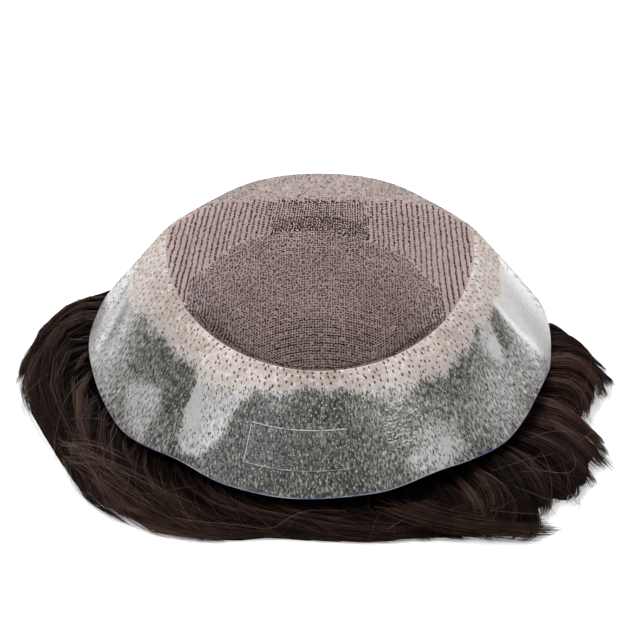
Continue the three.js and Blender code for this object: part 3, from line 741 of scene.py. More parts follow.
def band_material():
    """Cream coating with tan stains, greyer and thinner towards its lower line."""
    coat = Finish("cream_coating", 0.45)
    place = coat.place()
    tone, thin = coat.node("SeparateColor", {0: coat.stored("tint", "Color")}).outputs[:2]
    grain = coat.noise(1100, 3, place)
    stained = coat.math("MULTIPLY_ADD", coat.noise(150, 5, place), 1.2, tone)
    hue = coat.mix(coat.spread(stained, 0.6, 1.5), BAND_TAN, BAND_CREAM)
    hue = coat.mix(coat.spread(coat.noise(430, 3, place), 0.54, 0.66, 0.0, 0.5), hue, BAND_FLECK)
    hue = coat.scale(hue, coat.spread(grain, 0.35, 0.65, 0.78, 1.14))
    worn = coat.math("MULTIPLY_ADD", grain, 1.6, thin)
    return coat.done({
        "Base Color": coat.mix(coat.spread(worn, 1.0, 1.8, 0.0, 0.5), hue, BAND_GREY),
        "Normal": coat.bump(grain, 0.0003, 0.5),
        "Specular IOR Level": 0.3,
    })


points, faces, degrees, shares = panel(
    SKIN_FROM, SKIN_TO, [CREST_SHARE + PANEL_GAP, band_end], rows=[12], columns=480, thickness=SKIN_THICKNESS
)
tone = read_around(BAND_TONES, degrees, "tone") * np.ones_like(shares)
thin = np.exp(-(((band_line(degrees) - shares) / BAND_THIN_SHARE) ** 2))
band_tints = both_layers(np.stack([tone, thin, tone * 0], axis=-1))
band = add_piece("join_band_coating", points, faces, band_material(), band_tints, sheet=True)
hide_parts("poly_join_band")


def staggered(first, last, low, high, spacing, draw, jitter):
    """Places on the skirt in staggered rows that follow the crest, as angles and shares."""
    degrees, shares = [], []
    for number, share in enumerate(np.arange(low, high, spacing * ROW_CLOSENESS / SKIRT_RUN)):
        radius = np.linalg.norm(base_point(270, share)[:2] - BASE_MIDDLE[:2])
        step = math.degrees(spacing / radius)
        row = np.arange(first + step * (0.5 if number % 2 else 0), last, step)
        degrees.append(row + draw.normal(0, step * jitter, row.size))
        shares.append(share + draw.normal(0, spacing / SKIRT_RUN * jitter, row.size))
    return np.clip(np.concatenate(degrees), first, last), np.concatenate(shares)


def on_skirt(low, high, spacing, draw, jitter):
    return staggered(SKIN_FROM + SKIRT_MARGIN, SKIN_TO - SKIRT_MARGIN, low, high, spacing, draw, jitter)


def outward(degrees, share, turn=0.25):
    return base_point(degrees + turn, share + 0.04) - base_point(degrees, share)


draw = np.random.default_rng(14)
degrees, share = on_skirt(*BAND_DOT_SHARES, BAND_DOT_SPACING, draw, BAND_DOT_JITTER)
last = band_line(degrees) + draw.normal(0, BAND_DOT_ENDS["line_varies"], share.size)
kept = (share > BAND_DOT_ENDS["crest"]) & (share < last)
degrees, share = degrees[kept], share[kept]
band_dot_hair = knot_material("band_dot_hair", BAND_DOT_COLOUR, faded=BAND_DOT_FADED)
faded = draw.normal(read_around(BAND_DOT_FADING, degrees), BAND_DOT_FADING_VARIES)
faded = np.clip(faded, 0, BAND_DOT_MOST_FADED)
lean = outward(degrees, share)
lay_knots("band_dots", degrees, share, lean, BAND_DOT_SIZE, band_dot_hair, draw, tints=faded, flat=0.2)

# Clear skin
# The skirt is one cast film of clear polyurethane. It is slack between the waves of its edge, glossy,
# and milky where it stands off the hair; its lighter patches are partly that milk and partly painted
# reflections, and its darker folds are painted shade. Hairs are injected through it in staggered rows,
# each in a dimple with a painted glint. A violet line is painted along its cut edge for the light that
# runs inside the film.
# Lighter spots of the film: partly its milk where it stands off the hair, partly painted reflections.
# Negative light is painted shade in folds.
VEILS = table(
    "at share wide deep tilt light crisp",
    (166, 1.6, 20, 0.8, 0, 0.55, 1.4),
    (187, 1.9, 9, 0.3, 0, 0.18, 1.2),
    (196, 1.84, 14, 0.26, 0, 0.33, 1.2),
    (190, 1.42, 9, 0.24, 8, 0.34, 1.2),
    (228, 1.9, 8, 0.16, 0, 0.14, 1),
    (256, 1.7, 22, 0.36, 0, -0.1, 1),
    (290, 1.42, 9, 0.16, 4, 0.08, 1.2),
    (302, 1.7, 12, 0.3, 0, 0.14, 1.2),
    (322, 1.6, 8, 0.45, 0, 0.18, 1.2),
    (318, 1.36, 5, 0.2, 0, -0.12, 1),
    (336, 1.75, 14, 0.3, 0, 0.26, 1.4),
    (362, 1.6, 17, 0.8, 0, 0.5, 2),
)
TOP_VEILS = table(  # these show through the patches as well
    "at share wide deep tilt light crisp",
    (376, 1.4, 12, 0.6, 0, 0.3, 1),
    (189, 1.5, 2.4, 0.24, 14, -0.3, 1),
    (181, 1.5, 2.2, 0.22, 18, -0.24, 1),
)
PATCHES = table(  # corners are angles and shares
    "light soft calm corners",
    (0.62, 0.0012, 0.62, (  # at the back's left, with a straight left border
        (228.8, 1.18), (230, 1.28), (231, 1.39), (231.2, 1.5), (231.2, 1.64), (232.5, 1.76), (232, 1.81),
        (233.2, 1.88), (235.8, 1.95), (239, 1.92), (242, 1.81), (244, 1.68), (245, 1.54), (246.2, 1.41),
        (248.8, 1.34), (247.8, 1.23), (238.2, 1.2),
    )),
    (0.665, 0.003, 1, (
        (231.8, 1.36), (231.8, 1.45), (232, 1.56), (233, 1.69), (233, 1.76), (235.5, 1.78), (237.5, 1.71),
        (236, 1.58), (234.8, 1.47),
    )),
    (0.6, 0.004, 0.5, (
        (209, 1.8), (209.2, 1.7), (215.8, 1.6), (221.2, 1.58), (222.5, 1.66), (223.5, 1.72), (223.2, 1.8),
        (222.8, 1.9), (224.2, 2), (219.8, 1.98), (215, 1.96), (211.5, 1.89),
    )),
    (0.57, 0.005, 0.4, (  # under the band at the right
        (285, 1.15), (285.5, 1.29), (288.5, 1.35), (291.2, 1.42), (295, 1.41), (298, 1.36), (301, 1.32),
        (303, 1.25),
    )),
    (0.56, 0.004, 0.5, (
        (296.8, 1.68), (301, 1.66), (304, 1.65), (307.8, 1.7), (308, 1.82), (307.8, 1.9), (304.5, 1.97),
        (301.2, 1.99), (297.5, 1.98), (294, 1.95), (291.2, 1.86), (292.8, 1.82), (295.5, 1.78),
    )),
    (0.67, 0.003, 1, (
        (301.8, 1.76), (300.8, 1.85), (300.2, 1.94), (302.2, 1.95), (304.2, 1.86), (304.5, 1.78),
    )),
    (0.66, 0.0012, 0.7, (
        (331, 1.16), (330.5, 1.26), (329.5, 1.32), (327, 1.37), (328.8, 1.51), (328.8, 1.6), (331.2, 1.62),
        (333.8, 1.56), (334.5, 1.48), (335.8, 1.38), (336, 1.3), (336.5, 1.22),
    )),
    (0.75, 0.002, 1, (
        (331.8, 1.38), (329.5, 1.43), (329.8, 1.52), (331.5, 1.58), (333.8, 1.53), (334.5, 1.46),
    )),
    (0.3, 0.0024, 0, (
        (339, 1.27), (335.8, 1.37), (334.2, 1.52), (335.2, 1.6), (339, 1.57), (340, 1.45), (340, 1.31),
    )),
    (0.73, 0.0018, 1, (  # the smooth right side, past a ridge with a painted highlight
        (344.2, 1.06), (342.5, 1.28), (343.5, 1.48), (345, 1.64), (348.8, 1.78), (348.5, 1.89),
        (353.2, 1.97), (361.5, 2.05), (388, 2.05), (389, 1.52), (389, 1.06),
    )),
    # the ridge itself, a painted highlight
    (0.86, 0.0026, 1, (
        (341.8, 1.24), (342, 1.29), (342.8, 1.48), (344.2, 1.64), (347.5, 1.79), (347.8, 1.9), (351, 1.9),
        (350.8, 1.79), (347.5, 1.64), (345.2, 1.48), (344.5, 1.3),
    )),
    (0.74, 0.009, 0.8, (  # the left side, almost white
        (150, 1.05), (170.8, 1.05), (196, 1.2), (196, 1.34), (193, 1.5), (189, 1.66), (186, 1.8),
        (184, 2.05), (150, 2.05),
    )),
)
SKIN_METRES = (0.00136, SKIRT_RUN)  # along the crest in a degree, and from the crest to the edge
CLEAR_LEVEL = 0.24
VEILED_LEVEL = 0.85
CALM = {"most": 0.55, "from": 0.36, "over": 0.35}  # how calm the film gets as its level goes up
FAR_ENDS = {"right": (364, 12), "left": (166, 10), "darker": 0.3, "rougher": 0.7}
TORN_EDGE = {"size": 0.00028, "waves": ((2400, 900, 0), (-1300, 3700, 1), (5200, 4100, 2))}
STREAK_SHORTENING = 0.42  # of places outwards, which makes the marks longer that way
SKIN_TONES = table(
    "at colour",
    (0, (0.022, 0.022, 0.02, 1)),
    (0.25, (0.088, 0.087, 0.08, 1)),
    (0.5, (0.225, 0.22, 0.21, 1)),
    (0.75, (0.435, 0.425, 0.426, 1)),
    (1, (0.865, 0.85, 0.86, 1)),
)
SKIN_ALPHA = (0.6, 0.97)
SKIN_CREAM = {"least": 0.35, "by_tone": 0.55, "share": 0.075}  # cream that runs on past the band
# painted glints of the dimples, specks and ripples, from grey to white
GLINT_GREY = (0.13, 0.132, 0.122, 1)
GLINT_WHITE = (0.66, 0.66, 0.64, 1)
GLINT_MOST = 1.3
DIMPLE_SHARES = (1.2, 1.97)
DIMPLE_JITTER = 0.14
DIMPLE_SPACING = 0.0024
DIMPLE_SIZE = (0.0006, 0.00044)
DIMPLE_GLINTS = table(
    "at share", (150, 0.1), (225, 0.25), (246, 0.85), (285, 0.75), (305, 0.5), (325, 0.25), (392, 0.1)
)
DIMPLE_GLINTS_VARY = 0.25
STUB_SHARES = (1.2, 1.975)
STUB_JITTER = 0.24
STUB_SPACING = 0.0021
STUB_SIZE = (0.0011, 0.00048)
STUB_COLOUR = (0.02, 0.017, 0.015, 1)
SPECK_COUNT = 3000
SPECK_SHARES = (1.15, 1.98)
SPECK_SIZE = (0.0007, 0.00034)
SPECK_GLINTS = (0.35, 0.4)
BAND_CLEARANCE = 0.01
RIPPLES = {
    "at": 292.5, "share": 1.56, "wide": 7, "deep": 0.2,
    "spacing": 0.0014, "jitter": 0.16, "along": 0.25, "tilt": 0.0021, "size": (0.0019, 0.00062),
}
RIPPLE_GLINTS = {"bright": 0.85, "varies": 0.2, "dark": -0.2, "bright_ones": 0.6}
RIM_RADIUS = 0.0003
RIM_STEPS = 500
RIM_GREY = (0.3, 0.3, 0.33, 1)
RIM_VIOLET = (0.085, 0.07, 0.26, 1)


def veil_light(veil, degrees, share):
    """A veil's light, full at its middle and 0 outside, with an edge as crisp as it says."""
    around = turn_from(degrees, veil["at"]) - veil["tilt"] * (share - veil["share"])
    away = np.hypot(around / veil["wide"], (share - veil["share"]) / veil["deep"])
    return veil["light"] * np.exp(-0.7 * np.minimum(away, 4) ** (2 * veil["crisp"]))


def patch_shape(patch, degrees, share):
    """1 inside a patch's corners and 0 outside, with a slope as wide as it is soft, a little torn."""
    x, y = degrees * SKIN_METRES[0], share * SKIN_METRES[1]
    torn = sum(np.sin(x * by_x + y * by_y + turn) for by_x, by_y, turn in TORN_EDGE["waves"])
    inside, nearest = np.zeros(x.shape, bool), np.full(x.shape, 1.0)
    corners = np.array(patch["corners"]) * SKIN_METRES
    for (ax, ay), (bx, by) in zip(corners, np.roll(corners, -1, axis=0)):
        side_x, side_y = bx - ax, by - ay
        along = np.clip(((x - ax) * side_x + (y - ay) * side_y) / (side_x**2 + side_y**2), 0, 1)
        nearest = np.minimum(nearest, np.hypot(x - ax - along * side_x, y - ay - along * side_y))
        inside ^= ((ay > y) != (by > y)) & (x < ax + (y - ay) * side_x / (side_y + 1e-12))
    return smooth(0.5 + (np.where(inside, nearest, -nearest) + TORN_EDGE["size"] * torn) / patch["soft"])


def milk_and_painted_light(degrees, share):
    """How light the film is at a place, from its milk, painted reflections and painted shade in folds, and
    how calm its surface is.
    """
    degrees, share = np.broadcast_arrays(degrees, share)
    light = np.full(share.shape, CLEAR_LEVEL)
    for veil in VEILS + TOP_VEILS:
        light = light + veil_light(veil, degrees, share)
    light = np.minimum(light, VEILED_LEVEL)
    calm = CALM["most"] * smooth((light - CALM["from"]) / CALM["over"])
    for patch in PATCHES:
        shape = patch_shape(patch, degrees, share)
        light = light + (patch["light"] - light) * shape
        calm = calm + (patch["calm"] - calm) * shape
    for veil in TOP_VEILS:
        light = light + veil_light(veil, degrees, share)
    (right, right_over), (left, left_over) = FAR_ENDS["right"], FAR_ENDS["left"]
    far_end = smooth((degrees - right) / right_over) + smooth((left - degrees) / left_over)
    return light * (1 - FAR_ENDS["darker"] * far_end), calm * (1 - FAR_ENDS["rougher"] * far_end)


def skin_start(degrees):
    return band_line(degrees) + PANEL_GAP


def skin_material():
    """Streaks and painted glints away from the edge, smooth in the milky, partly painted patches, cream near
    the band.
    """
    film = Finish("clear_skin_film", 0.3)
    place = film.place()
    light, cream, calm = film.node("SeparateColor", {0: film.stored("tint", "Color")}).outputs[:3]
    along = film.stored("along", "Vector")

    def marks(scale, *spread):
        cells = film.node("TexVoronoi", {"Vector": along, "Scale": scale}, voronoi_dimensions="2D")
        return film.spread(cells.outputs[0], *spread)

    on_light, on_dark = film.spread(light, 0.2, 0.55, 0.55, 1.0), film.spread(light, 0.2, 0.65, 1.0, 0.3)
    dark = film.math("MULTIPLY", marks(900, 0.1, 0.32, -0.42, 0.06), on_light)
    # pale marks: painted glints, strongest where the film is dark
    pale = film.math("MULTIPLY", marks(860, 0.06, 0.24, 0.26, 0.0), on_dark)
    streaks = film.swing(film.noise(1100, 2, along), 1.0)
    lines = film.math("ADD", streaks, film.math("ADD", dark, pale))
    rough = film.math("ADD", lines, film.swing(film.noise(900, 3, place), 0.4))
    clouds = film.swing(film.noise(150, 4, place), 0.4)
    strength = film.spread(calm, 0.0, 1.0, 1.0, 0.12)
    level = film.math("MULTIPLY_ADD", rough, strength, light)
    level = film.math("MULTIPLY_ADD", clouds, strength, level)
    tones = film.node("ValToRGB", {0: level})
    stops = tones.color_ramp.elements
    stops[0].position, stops[0].color = SKIN_TONES[0]["at"], SKIN_TONES[0]["colour"]
    stops[1].position, stops[1].color = SKIN_TONES[-1]["at"], SKIN_TONES[-1]["colour"]
    for tone in SKIN_TONES[1:-1]:
        stops.new(tone["at"]).color = tone["colour"]
    creamed = film.spread(film.math("MULTIPLY_ADD", rough, 0.8, cream), 0.3, 0.8, 0.0, 0.85)
    thick = film.math("MAXIMUM", level, creamed)
    return film.done({
        "Base Color": film.mix(creamed, tones.outputs[0], BAND_CREAM),
        "Alpha": film.spread(thick, 0.1, 0.5, *SKIN_ALPHA),
        "Normal": film.bump(lines, 0.0003, 0.6),
        "Specular IOR Level": 0.35,
        "Coat Weight": 0.25,
        "Coat Roughness": 0.15,
    })


points, faces, degrees, shares = panel(
    SKIN_FROM, SKIN_TO, [skin_start, EDGE_SHARE], rows=[44], columns=520, thickness=SKIN_THICKNESS
)
light, calm = milk_and_painted_light(degrees, shares)
cream = SKIN_CREAM["least"] + SKIN_CREAM["by_tone"] * read_around(BAND_TONES, degrees, "tone")
cream = cream * np.exp(-(((shares - band_line(degrees)) / SKIN_CREAM["share"]) ** 2))
skin_tints = both_layers(np.stack([light, cream, calm], axis=-1))
skin = add_piece("poly_skin_film", points, faces, skin_material(), skin_tints, sheet=True)
run = [degrees * SKIN_METRES[0] + 0 * shares, shares * SKIN_METRES[1] * STREAK_SHORTENING, 0 * shares]
layer = skin.data.attributes.new("along", "FLOAT_VECTOR", "POINT")
layer.data.foreach_set("vector", both_layers(np.stack(run, axis=-1)).ravel())
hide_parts("poly_skirt")


def glint_material():
    """The painted glint of a dimple, from grey to white with its tint."""
    glint = Finish("painted_dimple_glint", 0.2)
    bright = glint.math("MULTIPLY_ADD", glint.stored("tint"), glint.noise(900, 1), 0.15)
    return glint.done({"Base Color": glint.mix(bright, GLINT_GREY, GLINT_WHITE)})


draw = np.random.default_rng(15)
skin_glint = glint_material()
# Dimples round the injected hairs, drawn as painted glints.
degrees, share = on_skirt(*DIMPLE_SHARES, DIMPLE_SPACING, draw, DIMPLE_JITTER)
light, calm = milk_and_painted_light(degrees, share)
kept = (share > band_line(degrees) + BAND_CLEARANCE) & (draw.random(share.size) > 1.1 * calm)
degrees, share = degrees[kept], share[kept]
glints = draw.normal(read_around(DIMPLE_GLINTS, degrees), DIMPLE_GLINTS_VARY)
glints = np.clip(glints, 0.02, GLINT_MOST)
lean = outward(degrees, share, 0.0)
lay_knots("skin_dimples", degrees, share, lean, DIMPLE_SIZE, skin_glint, draw, tints=glints)

degrees, share = on_skirt(*STUB_SHARES, STUB_SPACING, draw, STUB_JITTER)
light, calm = milk_and_painted_light(degrees, share)
kept = (share > band_line(degrees) - BAND_CLEARANCE) & (draw.random(share.size) > calm**2.5)
degrees, share = degrees[kept], share[kept]
stub_hair = knot_material("injected_stub_hair", STUB_COLOUR)
lean = outward(degrees, share)
lay_knots("injected_stubs", degrees, share, lean, STUB_SIZE, stub_hair, draw, sides=4, flat=0.3)

# Specks of painted glint on the film.
degrees = draw.uniform(SKIN_FROM + SKIRT_MARGIN, SKIN_TO - SKIRT_MARGIN, SPECK_COUNT)
share = draw.uniform(*SPECK_SHARES, SPECK_COUNT)
light, calm = milk_and_painted_light(degrees, share)
kept = (share > band_line(degrees)) & (draw.random(SPECK_COUNT) > 1.2 * calm)
degrees, share = degrees[kept], share[kept]
glints = np.clip(draw.normal(*SPECK_GLINTS, degrees.size), 0, GLINT_MOST)
lean = outward(degrees, share, 0.6)
lay_knots(
    "skin_specks", degrees, share, lean, SPECK_SIZE, skin_glint, draw,
    sides=4, tints=glints, flat=0.3,
)

# Ripples in the film, drawn as painted glints and darker strokes of painted shade.
around, down = RIPPLES["wide"], RIPPLES["deep"]
degrees, share = staggered(
    RIPPLES["at"] - around, RIPPLES["at"] + around, RIPPLES["share"] - down, RIPPLES["share"] + down,
    RIPPLES["spacing"], draw, RIPPLES["jitter"],
)
away = np.hypot((degrees - RIPPLES["at"]) / around, (share - RIPPLES["share"]) / down)
kept = draw.random(share.size) > away**3
degrees, share = degrees[kept], share[kept]
bright = draw.random(share.size) < RIPPLE_GLINTS["bright_ones"]
glints = draw.normal(RIPPLE_GLINTS["bright"], RIPPLE_GLINTS["varies"], share.size)
glints = np.where(bright, glints, RIPPLE_GLINTS["dark"])
lean = base_point(degrees + RIPPLES["along"], share - draw.normal(0, RIPPLES["tilt"], share.size))
lean = lean - base_point(degrees, share)
lay_knots(
    "skin_ripples", degrees, share, lean, RIPPLES["size"], skin_glint, draw,
    tints=glints, flat=0.35,
)


def tubes(paths, radii, sides=3):
    """Points and faces of thin tubes along paths (tube, point, axis), with a radius at each point."""
    ahead = np.gradient(paths, axis=1)
    ahead /= np.linalg.norm(ahead, axis=-1, keepdims=True) + 1e-12
    side = np.cross(ahead, [0.0, 0.0, 1.0])
    side /= np.linalg.norm(side, axis=-1, keepdims=True) + 1e-9
    over = np.cross(side, ahead)
    turns = np.arange(sides) * 2 * np.pi / sides + np.pi / 2
    ring = np.cos(turns)[:, None] * side[:, :, None] + np.sin(turns)[:, None] * over[:, :, None]
    points = paths[:, :, None] + ring * radii[:, :, None, None]
    tube, step = paths.shape[:2]
    corner = np.arange(tube * step * sides).reshape(tube, step, sides)
    after = np.roll(corner, -1, axis=2)
    walls = quads(corner[:, :-1], after[:, :-1], after[:, 1:], corner[:, 1:])
    return points, [walls, corner[:, 0, ::-1], corner[:, -1]]


def rim_material():
    """Grey film with violet painted here and there, for the light that runs inside the film."""
    rim = Finish("skin_cut_edge", 0.3)
    violet = rim.spread(rim.noise(70, 3), 0.42, 0.6)
    return rim.done({"Base Color": rim.mix(violet, RIM_GREY, RIM_VIOLET)})


degrees = np.linspace(SKIN_FROM, SKIN_TO, RIM_STEPS)
path = base_point(degrees, EDGE_SHARE) - base_normal(degrees, EDGE_SHARE) * SKIN_THICKNESS / 2
points, faces = tubes(path[None], np.full((1, RIM_STEPS), RIM_RADIUS), sides=6)
add_piece("skin_rim_line", points, faces, rim_material())

# Label patch
# A bare rectangle of thin clear film is stuck on the skin at the back. Only its outline shows, as a
# fine pale bead of adhesive.
LABEL_CORNERS = ((251, 1.5), (277, 1.5), (277, 1.8), (251, 1.8))  # angles and shares
LABEL_THICKNESS = 0.00025
LABEL_LIFT = 0.00045
LABEL_FILM_TONES = ((0.5, 0.54, 0.52, 1), (0.7, 0.74, 0.72, 1))
LABEL_BEAD_TONES = ((0.42, 0.43, 0.42, 1), (0.75, 0.76, 0.74, 1))
LABEL_BEAD_RADIUS = 0.00018
LABEL_BEAD_SIDES = 5
LABEL_SIDES = table("points seen", (60, 0.85), (24, 0.15), (60, 0.45), (24, 0.55))


def label_film_material():
    film = Finish("patch_film", 0.2)
    noise = film.noise(400, 3)
    return film.done({
        "Alpha": film.spread(noise, 0.4, 0.7, 0.0, 0.04),
        "Base Color": film.mix(noise, *LABEL_FILM_TONES),
    })


def label_bead_material():
    """Pale adhesive, clear in places and where tint is low."""
    bead = Finish("patch_adhesive", 0.3)
    noise = bead.noise(260, 3)
    return bead.done({
        "Alpha": bead.math("MULTIPLY", bead.spread(noise, 0.36, 0.5, 0.3, 0.95), bead.stored("tint")),
        "Base Color": bead.mix(noise, *LABEL_BEAD_TONES),
    })


(label_from, label_top), _, (label_to, label_bottom), _ = LABEL_CORNERS
points, faces, _, _ = panel(
    label_from, label_to, [label_top, label_bottom],
    rows=[24], columns=60, thickness=LABEL_THICKNESS, lift=LABEL_LIFT,
)
label = add_piece("clear_patch_film", points, faces, label_film_material())
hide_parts("clear_label_patch")

bead = []
for number, side in enumerate(LABEL_SIDES):
    start, end = np.array(LABEL_CORNERS[number], float), np.array(LABEL_CORNERS[(number + 1) % 4], float)
    is_short = number % 2
    t = np.linspace(0, 1, side["points"] + 2 * is_short)
    t = t[is_short : t.size - is_short]
    bead.append([*(start[:, None] + (end - start)[:, None] * t), side["seen"] + 0 * t])
degrees, share, seen = np.concatenate(bead, axis=1)
path = base_point(degrees, share) + base_normal(degrees, share) * LABEL_LIFT
radii = np.full((1, degrees.size), LABEL_BEAD_RADIUS)
points, faces = tubes(path[None], radii, LABEL_BEAD_SIDES)
add_piece(
    "patch_outline", points, faces, label_bead_material(), np.repeat(seen, LABEL_BEAD_SIDES)
)

# Hair bed
# Under the base the hair is pressed flat between it and the surface that the piece lies on. It
# fills the space under the bowl and the upper part of the skin, and it is what the piece rests on.
BED_EDGE_SHARE = 1.62
BED_LINES = 180
BED_ROWS = 24
BED_GROOVES = {"swirl": 70, "waves": (38, 13), "low": 0.0002, "high": 0.0008, "tint": 0.3}
HAIR_GAP = 0.0012
HAIR_DARK = (0.0026, 0.0017, 0.0015, 1)
HAIR_BROWN = (0.062, 0.033, 0.025, 1)
HAIR_SHINE = (0.9, 0.64, 0.56, 1)
INJECTED_COUNT = 1200
INJECTED_STEPS = 5
INJECTED_SHARES = (1.1, 1.85)
INJECTED_TINTS = (0.1, 3.0)
INJECTED_RADIUS = (0.00012, 0.00024)
INJECTED_RUN = {"degrees": 4, "varies": 1.2, "share": 0.25, "last": 1.99}
INJECTED_DEPTH = (0.0009, 0.0005)


def hair_material(name, dark, brown):
    """Hair with a soft shine, from strand to strand a little lighter or redder."""
    strand = Finish(name, 0.4)
    shade = strand.math("MULTIPLY", strand.stored("tint"), strand.noise(130, 3))
    return strand.done({
        "Base Color": strand.mix(shade, dark, brown),
        "Roughness": strand.spread(shade, 0.03, 0.25, 0.8, 0.4),
        "Specular IOR Level": 0.11,
        "Specular Tint": HAIR_SHINE,
    })


hair = hair_material("dark_brown_hair", HAIR_DARK, HAIR_BROWN)
degrees = (np.arange(BED_LINES) * 360 / BED_LINES)[:, None]
shares = np.linspace(0, BED_EDGE_SHARE, BED_ROWS + 1)
top = base_point(degrees, shares) - base_normal(degrees, shares) * HAIR_GAP
swirl = np.radians(degrees + BED_GROOVES["swirl"] * shares)
first_wave, second_wave = BED_GROOVES["waves"]
groove = 0.5 + 0.5 * np.sin(swirl * first_wave) * np.sin(swirl * second_wave + 1)
under = top.copy()
under[..., 2] = BED_GROOVES["low"] + BED_GROOVES["high"] * groove * smooth(shares * 4)
faces = shell_faces(BED_LINES, BED_ROWS + 1, goes_round=True, has_hole=False)
bed_tints = both_layers(groove * BED_GROOVES["tint"])
bed = add_piece("hair_bed", np.stack([top, under], axis=1), faces, hair, bed_tints)
weld(bed)
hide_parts("under_hair")

draw = np.random.default_rng(16)
degrees = draw.uniform(SKIN_FROM, SKIN_TO, INJECTED_COUNT)[:, None]
share = draw.uniform(*INJECTED_SHARES, INJECTED_COUNT)[:, None]
t = np.linspace(0, 1, INJECTED_STEPS)
degrees = degrees + INJECTED_RUN["degrees"] * t + draw.normal(0, INJECTED_RUN["varies"], share.shape) * t
share = np.minimum(share + INJECTED_RUN["share"] * t, INJECTED_RUN["last"])
depth = INJECTED_DEPTH[0] + INJECTED_DEPTH[1] * draw.random((INJECTED_COUNT, 1)) * np.sin(np.pi * t)
paths = base_point(degrees, share) - base_normal(degrees, share) * depth[..., None]
radii = draw.uniform(*INJECTED_RADIUS, (INJECTED_COUNT, 1)) * np.ones(t.size)
points, faces = tubes(paths, radii)
tints = np.repeat(draw.uniform(*INJECTED_TINTS, INJECTED_COUNT), points[0].size // 3)
add_piece("injected_hair", points, faces, hair, tints)

# Locks of hair
# Past the edge the hair comes out all round, from under the base down to the surface. It sweeps
# round anticlockwise, seen from above, in clumped locks with ragged tips. It is fullest at the left,
# runs along the back edge, and fans out at the right. At the front it is short and tucked under.
HAIR_REACH = 0.036
HAIR_OUTLINE = table(  # share of the reach, and height as a share of the skin edge's
    "at share height",
    (20, 0.18, 0.6), (90, 0.2, 0.55), (142, 0.16, 0.5), (157, 0.3, 0.72), (168, 0.66, 1.02),
    (182, 0.76, 1.05), (192, 0.76, 1.0), (202, 0.63, 0.95), (212, 0.61, 0.88), (225, 0.7, 0.8),
    (240, 0.6, 0.7), (252, 0.37, 0.65), (261, 0.17, 0.6), (284, 0.31, 0.6), (296, 0.54, 0.65),
    (307, 1.02, 0.7), (315, 1.0, 0.7), (325, 1.1, 0.75), (334, 0.8, 0.8), (341, 0.56, 0.8),
    (352, 0.7, 0.85), (363, 0.48, 0.8), (376, 0.14, 0.5),
)
HAIR_FALL = table("at share", (0, 0.94), (0.3, 1), (0.6, 0.8), (0.85, 0.4), (1, 0.2))
HAIR_SWEEP = table(
    "at degrees curl",
    (20, 2, 1.1), (90, 8, 1.1), (140, 18, 1.4), (160, 34, 1.9), (182, 46, 2.2), (205, 48, 2.0),
    (225, 44, 1.8), (245, 40, 1.6), (264, 36, 1.6), (276, 22, 1.4), (286, 6, 1.2), (298, -4, 1.1),
    (312, -7, 1.08), (325, -7, 1.05), (340, -5, 1.05), (352, -5, 1.05), (368, -6, 1.1), (380, 2, 1.1),
)
# Tone of the hair by angle: partly its own redder tone, partly painted highlight at the left and right and
# painted shade at the front, under the skin's edge.
HAIR_TONE_AND_LIGHT = table(
    "at tone",
    (60, 1), (150, 2.1), (178, 3.1), (200, 1.75), (222, 0.68), (242, 0.4), (268, 0.18), (292, 0.28),
    (312, 0.6), (332, 0.8), (350, 3.6), (380, 3.4),
)
HAIR_ZONES = table(
    "name from to locks strands mass narrow seed",
    ("left_hair", 140, 208, 30, 3000, 0.78, 0.7, 21),
    ("back_hair", 208, 288, 36, 3000, 0.76, 0.7, 22),
    ("right_hair", 288, 380, 30, 3300, 0.66, 0.3, 23),
    ("front_hair", 380, 500, 34, 1000, 0.8, 0.7, 24),
)
HAIR_FLOOR = 0.0002
EDGE_CLEARANCE = 0.0022  # of the hair under the skin's edge
HAIR_RISE = 1.1  # how steeply it may rise past the edge
ROOT_INSET = 0.012
STRAND_STEPS = 8
STRAND_RADIUS = 0.0002
STRAND_FLOOR = 0.0004
STREAK_DEGREES = 0.5
STREAK_MARGIN = 8
# streaks of lighter and darker strands: partly the hair's own tone, partly painted highlight
STREAK_TINT = {"least": 0.1, "adds": 2.4}
MASS_LINES_A_DEGREE = 3
MASS_STEPS = 14
MASS_LEVEL = 0.62
MASS_GROOVES = {"reach": 0.05, "level": 0.06, "streaks": (0.2, 1)}
# the body is kept dark, as painted shade where it shows between the locks
MASS_TINT = 0.12
LOCK_PLACE = (0.1, 0.9)
LOCK_REACH = (0.74, 1.04)
LOCK_LEVEL = (0.8, 1.14)
LOCK_TURN = (1, 0.28)
LOCK_CURL = (1.05, 0.25)
LOCK_TINT = {"least": 0.08, "adds": 1.7}
LOCK_BOW = 1.6
LOCK_TAPER = 0.09
STRAND_SCATTER = 0.52  # about the lock's middle, as a share of the distance between locks
RIDGE_WIDTH = 1.2
STRAND_WAVE = {"size": 0.3, "turns": 5}
STRAND_TURN = 0.025
LEAST_CURL = 1.02
STRAND_SHORT = 0.07
STRAND_REACH = (0.3, 1.06)
STRAND_LEVEL = {"flat": 0.68, "ridge": 0.32, "deep": 0.15, "lift": 0.03}
STRAND_WIDTHS = (0.6, 1.25)
STRAND_TIP_TAPER = 0.8
# lighter along a lock's ridge as painted highlight, darker deep in the lock as painted shade
STRAND_TINT = {"flat": 0.4, "ridge": 0.8, "deep": 0.6, "varies": (0.7, 1.3), "range": (0.03, 3)}
ROOT_SHADOW = {"least": 0.2, "until": 0.45}


def past_edge(degrees, out):
    """Place in plan at a distance past the base's outer edge."""
    x, y = plan_point(EDGE, degrees)
    ahead_x, ahead_y = plan_point(EDGE, degrees + 1)
    behind_x, behind_y = plan_point(EDGE, degrees - 1)
    square_x, square_y = ahead_y - behind_y, behind_x - ahead_x
    length = np.hypot(square_x, square_y)
    return x + square_x / length * out + BASE_MIDDLE[0], y + square_y / length * out + BASE_MIDDLE[1]


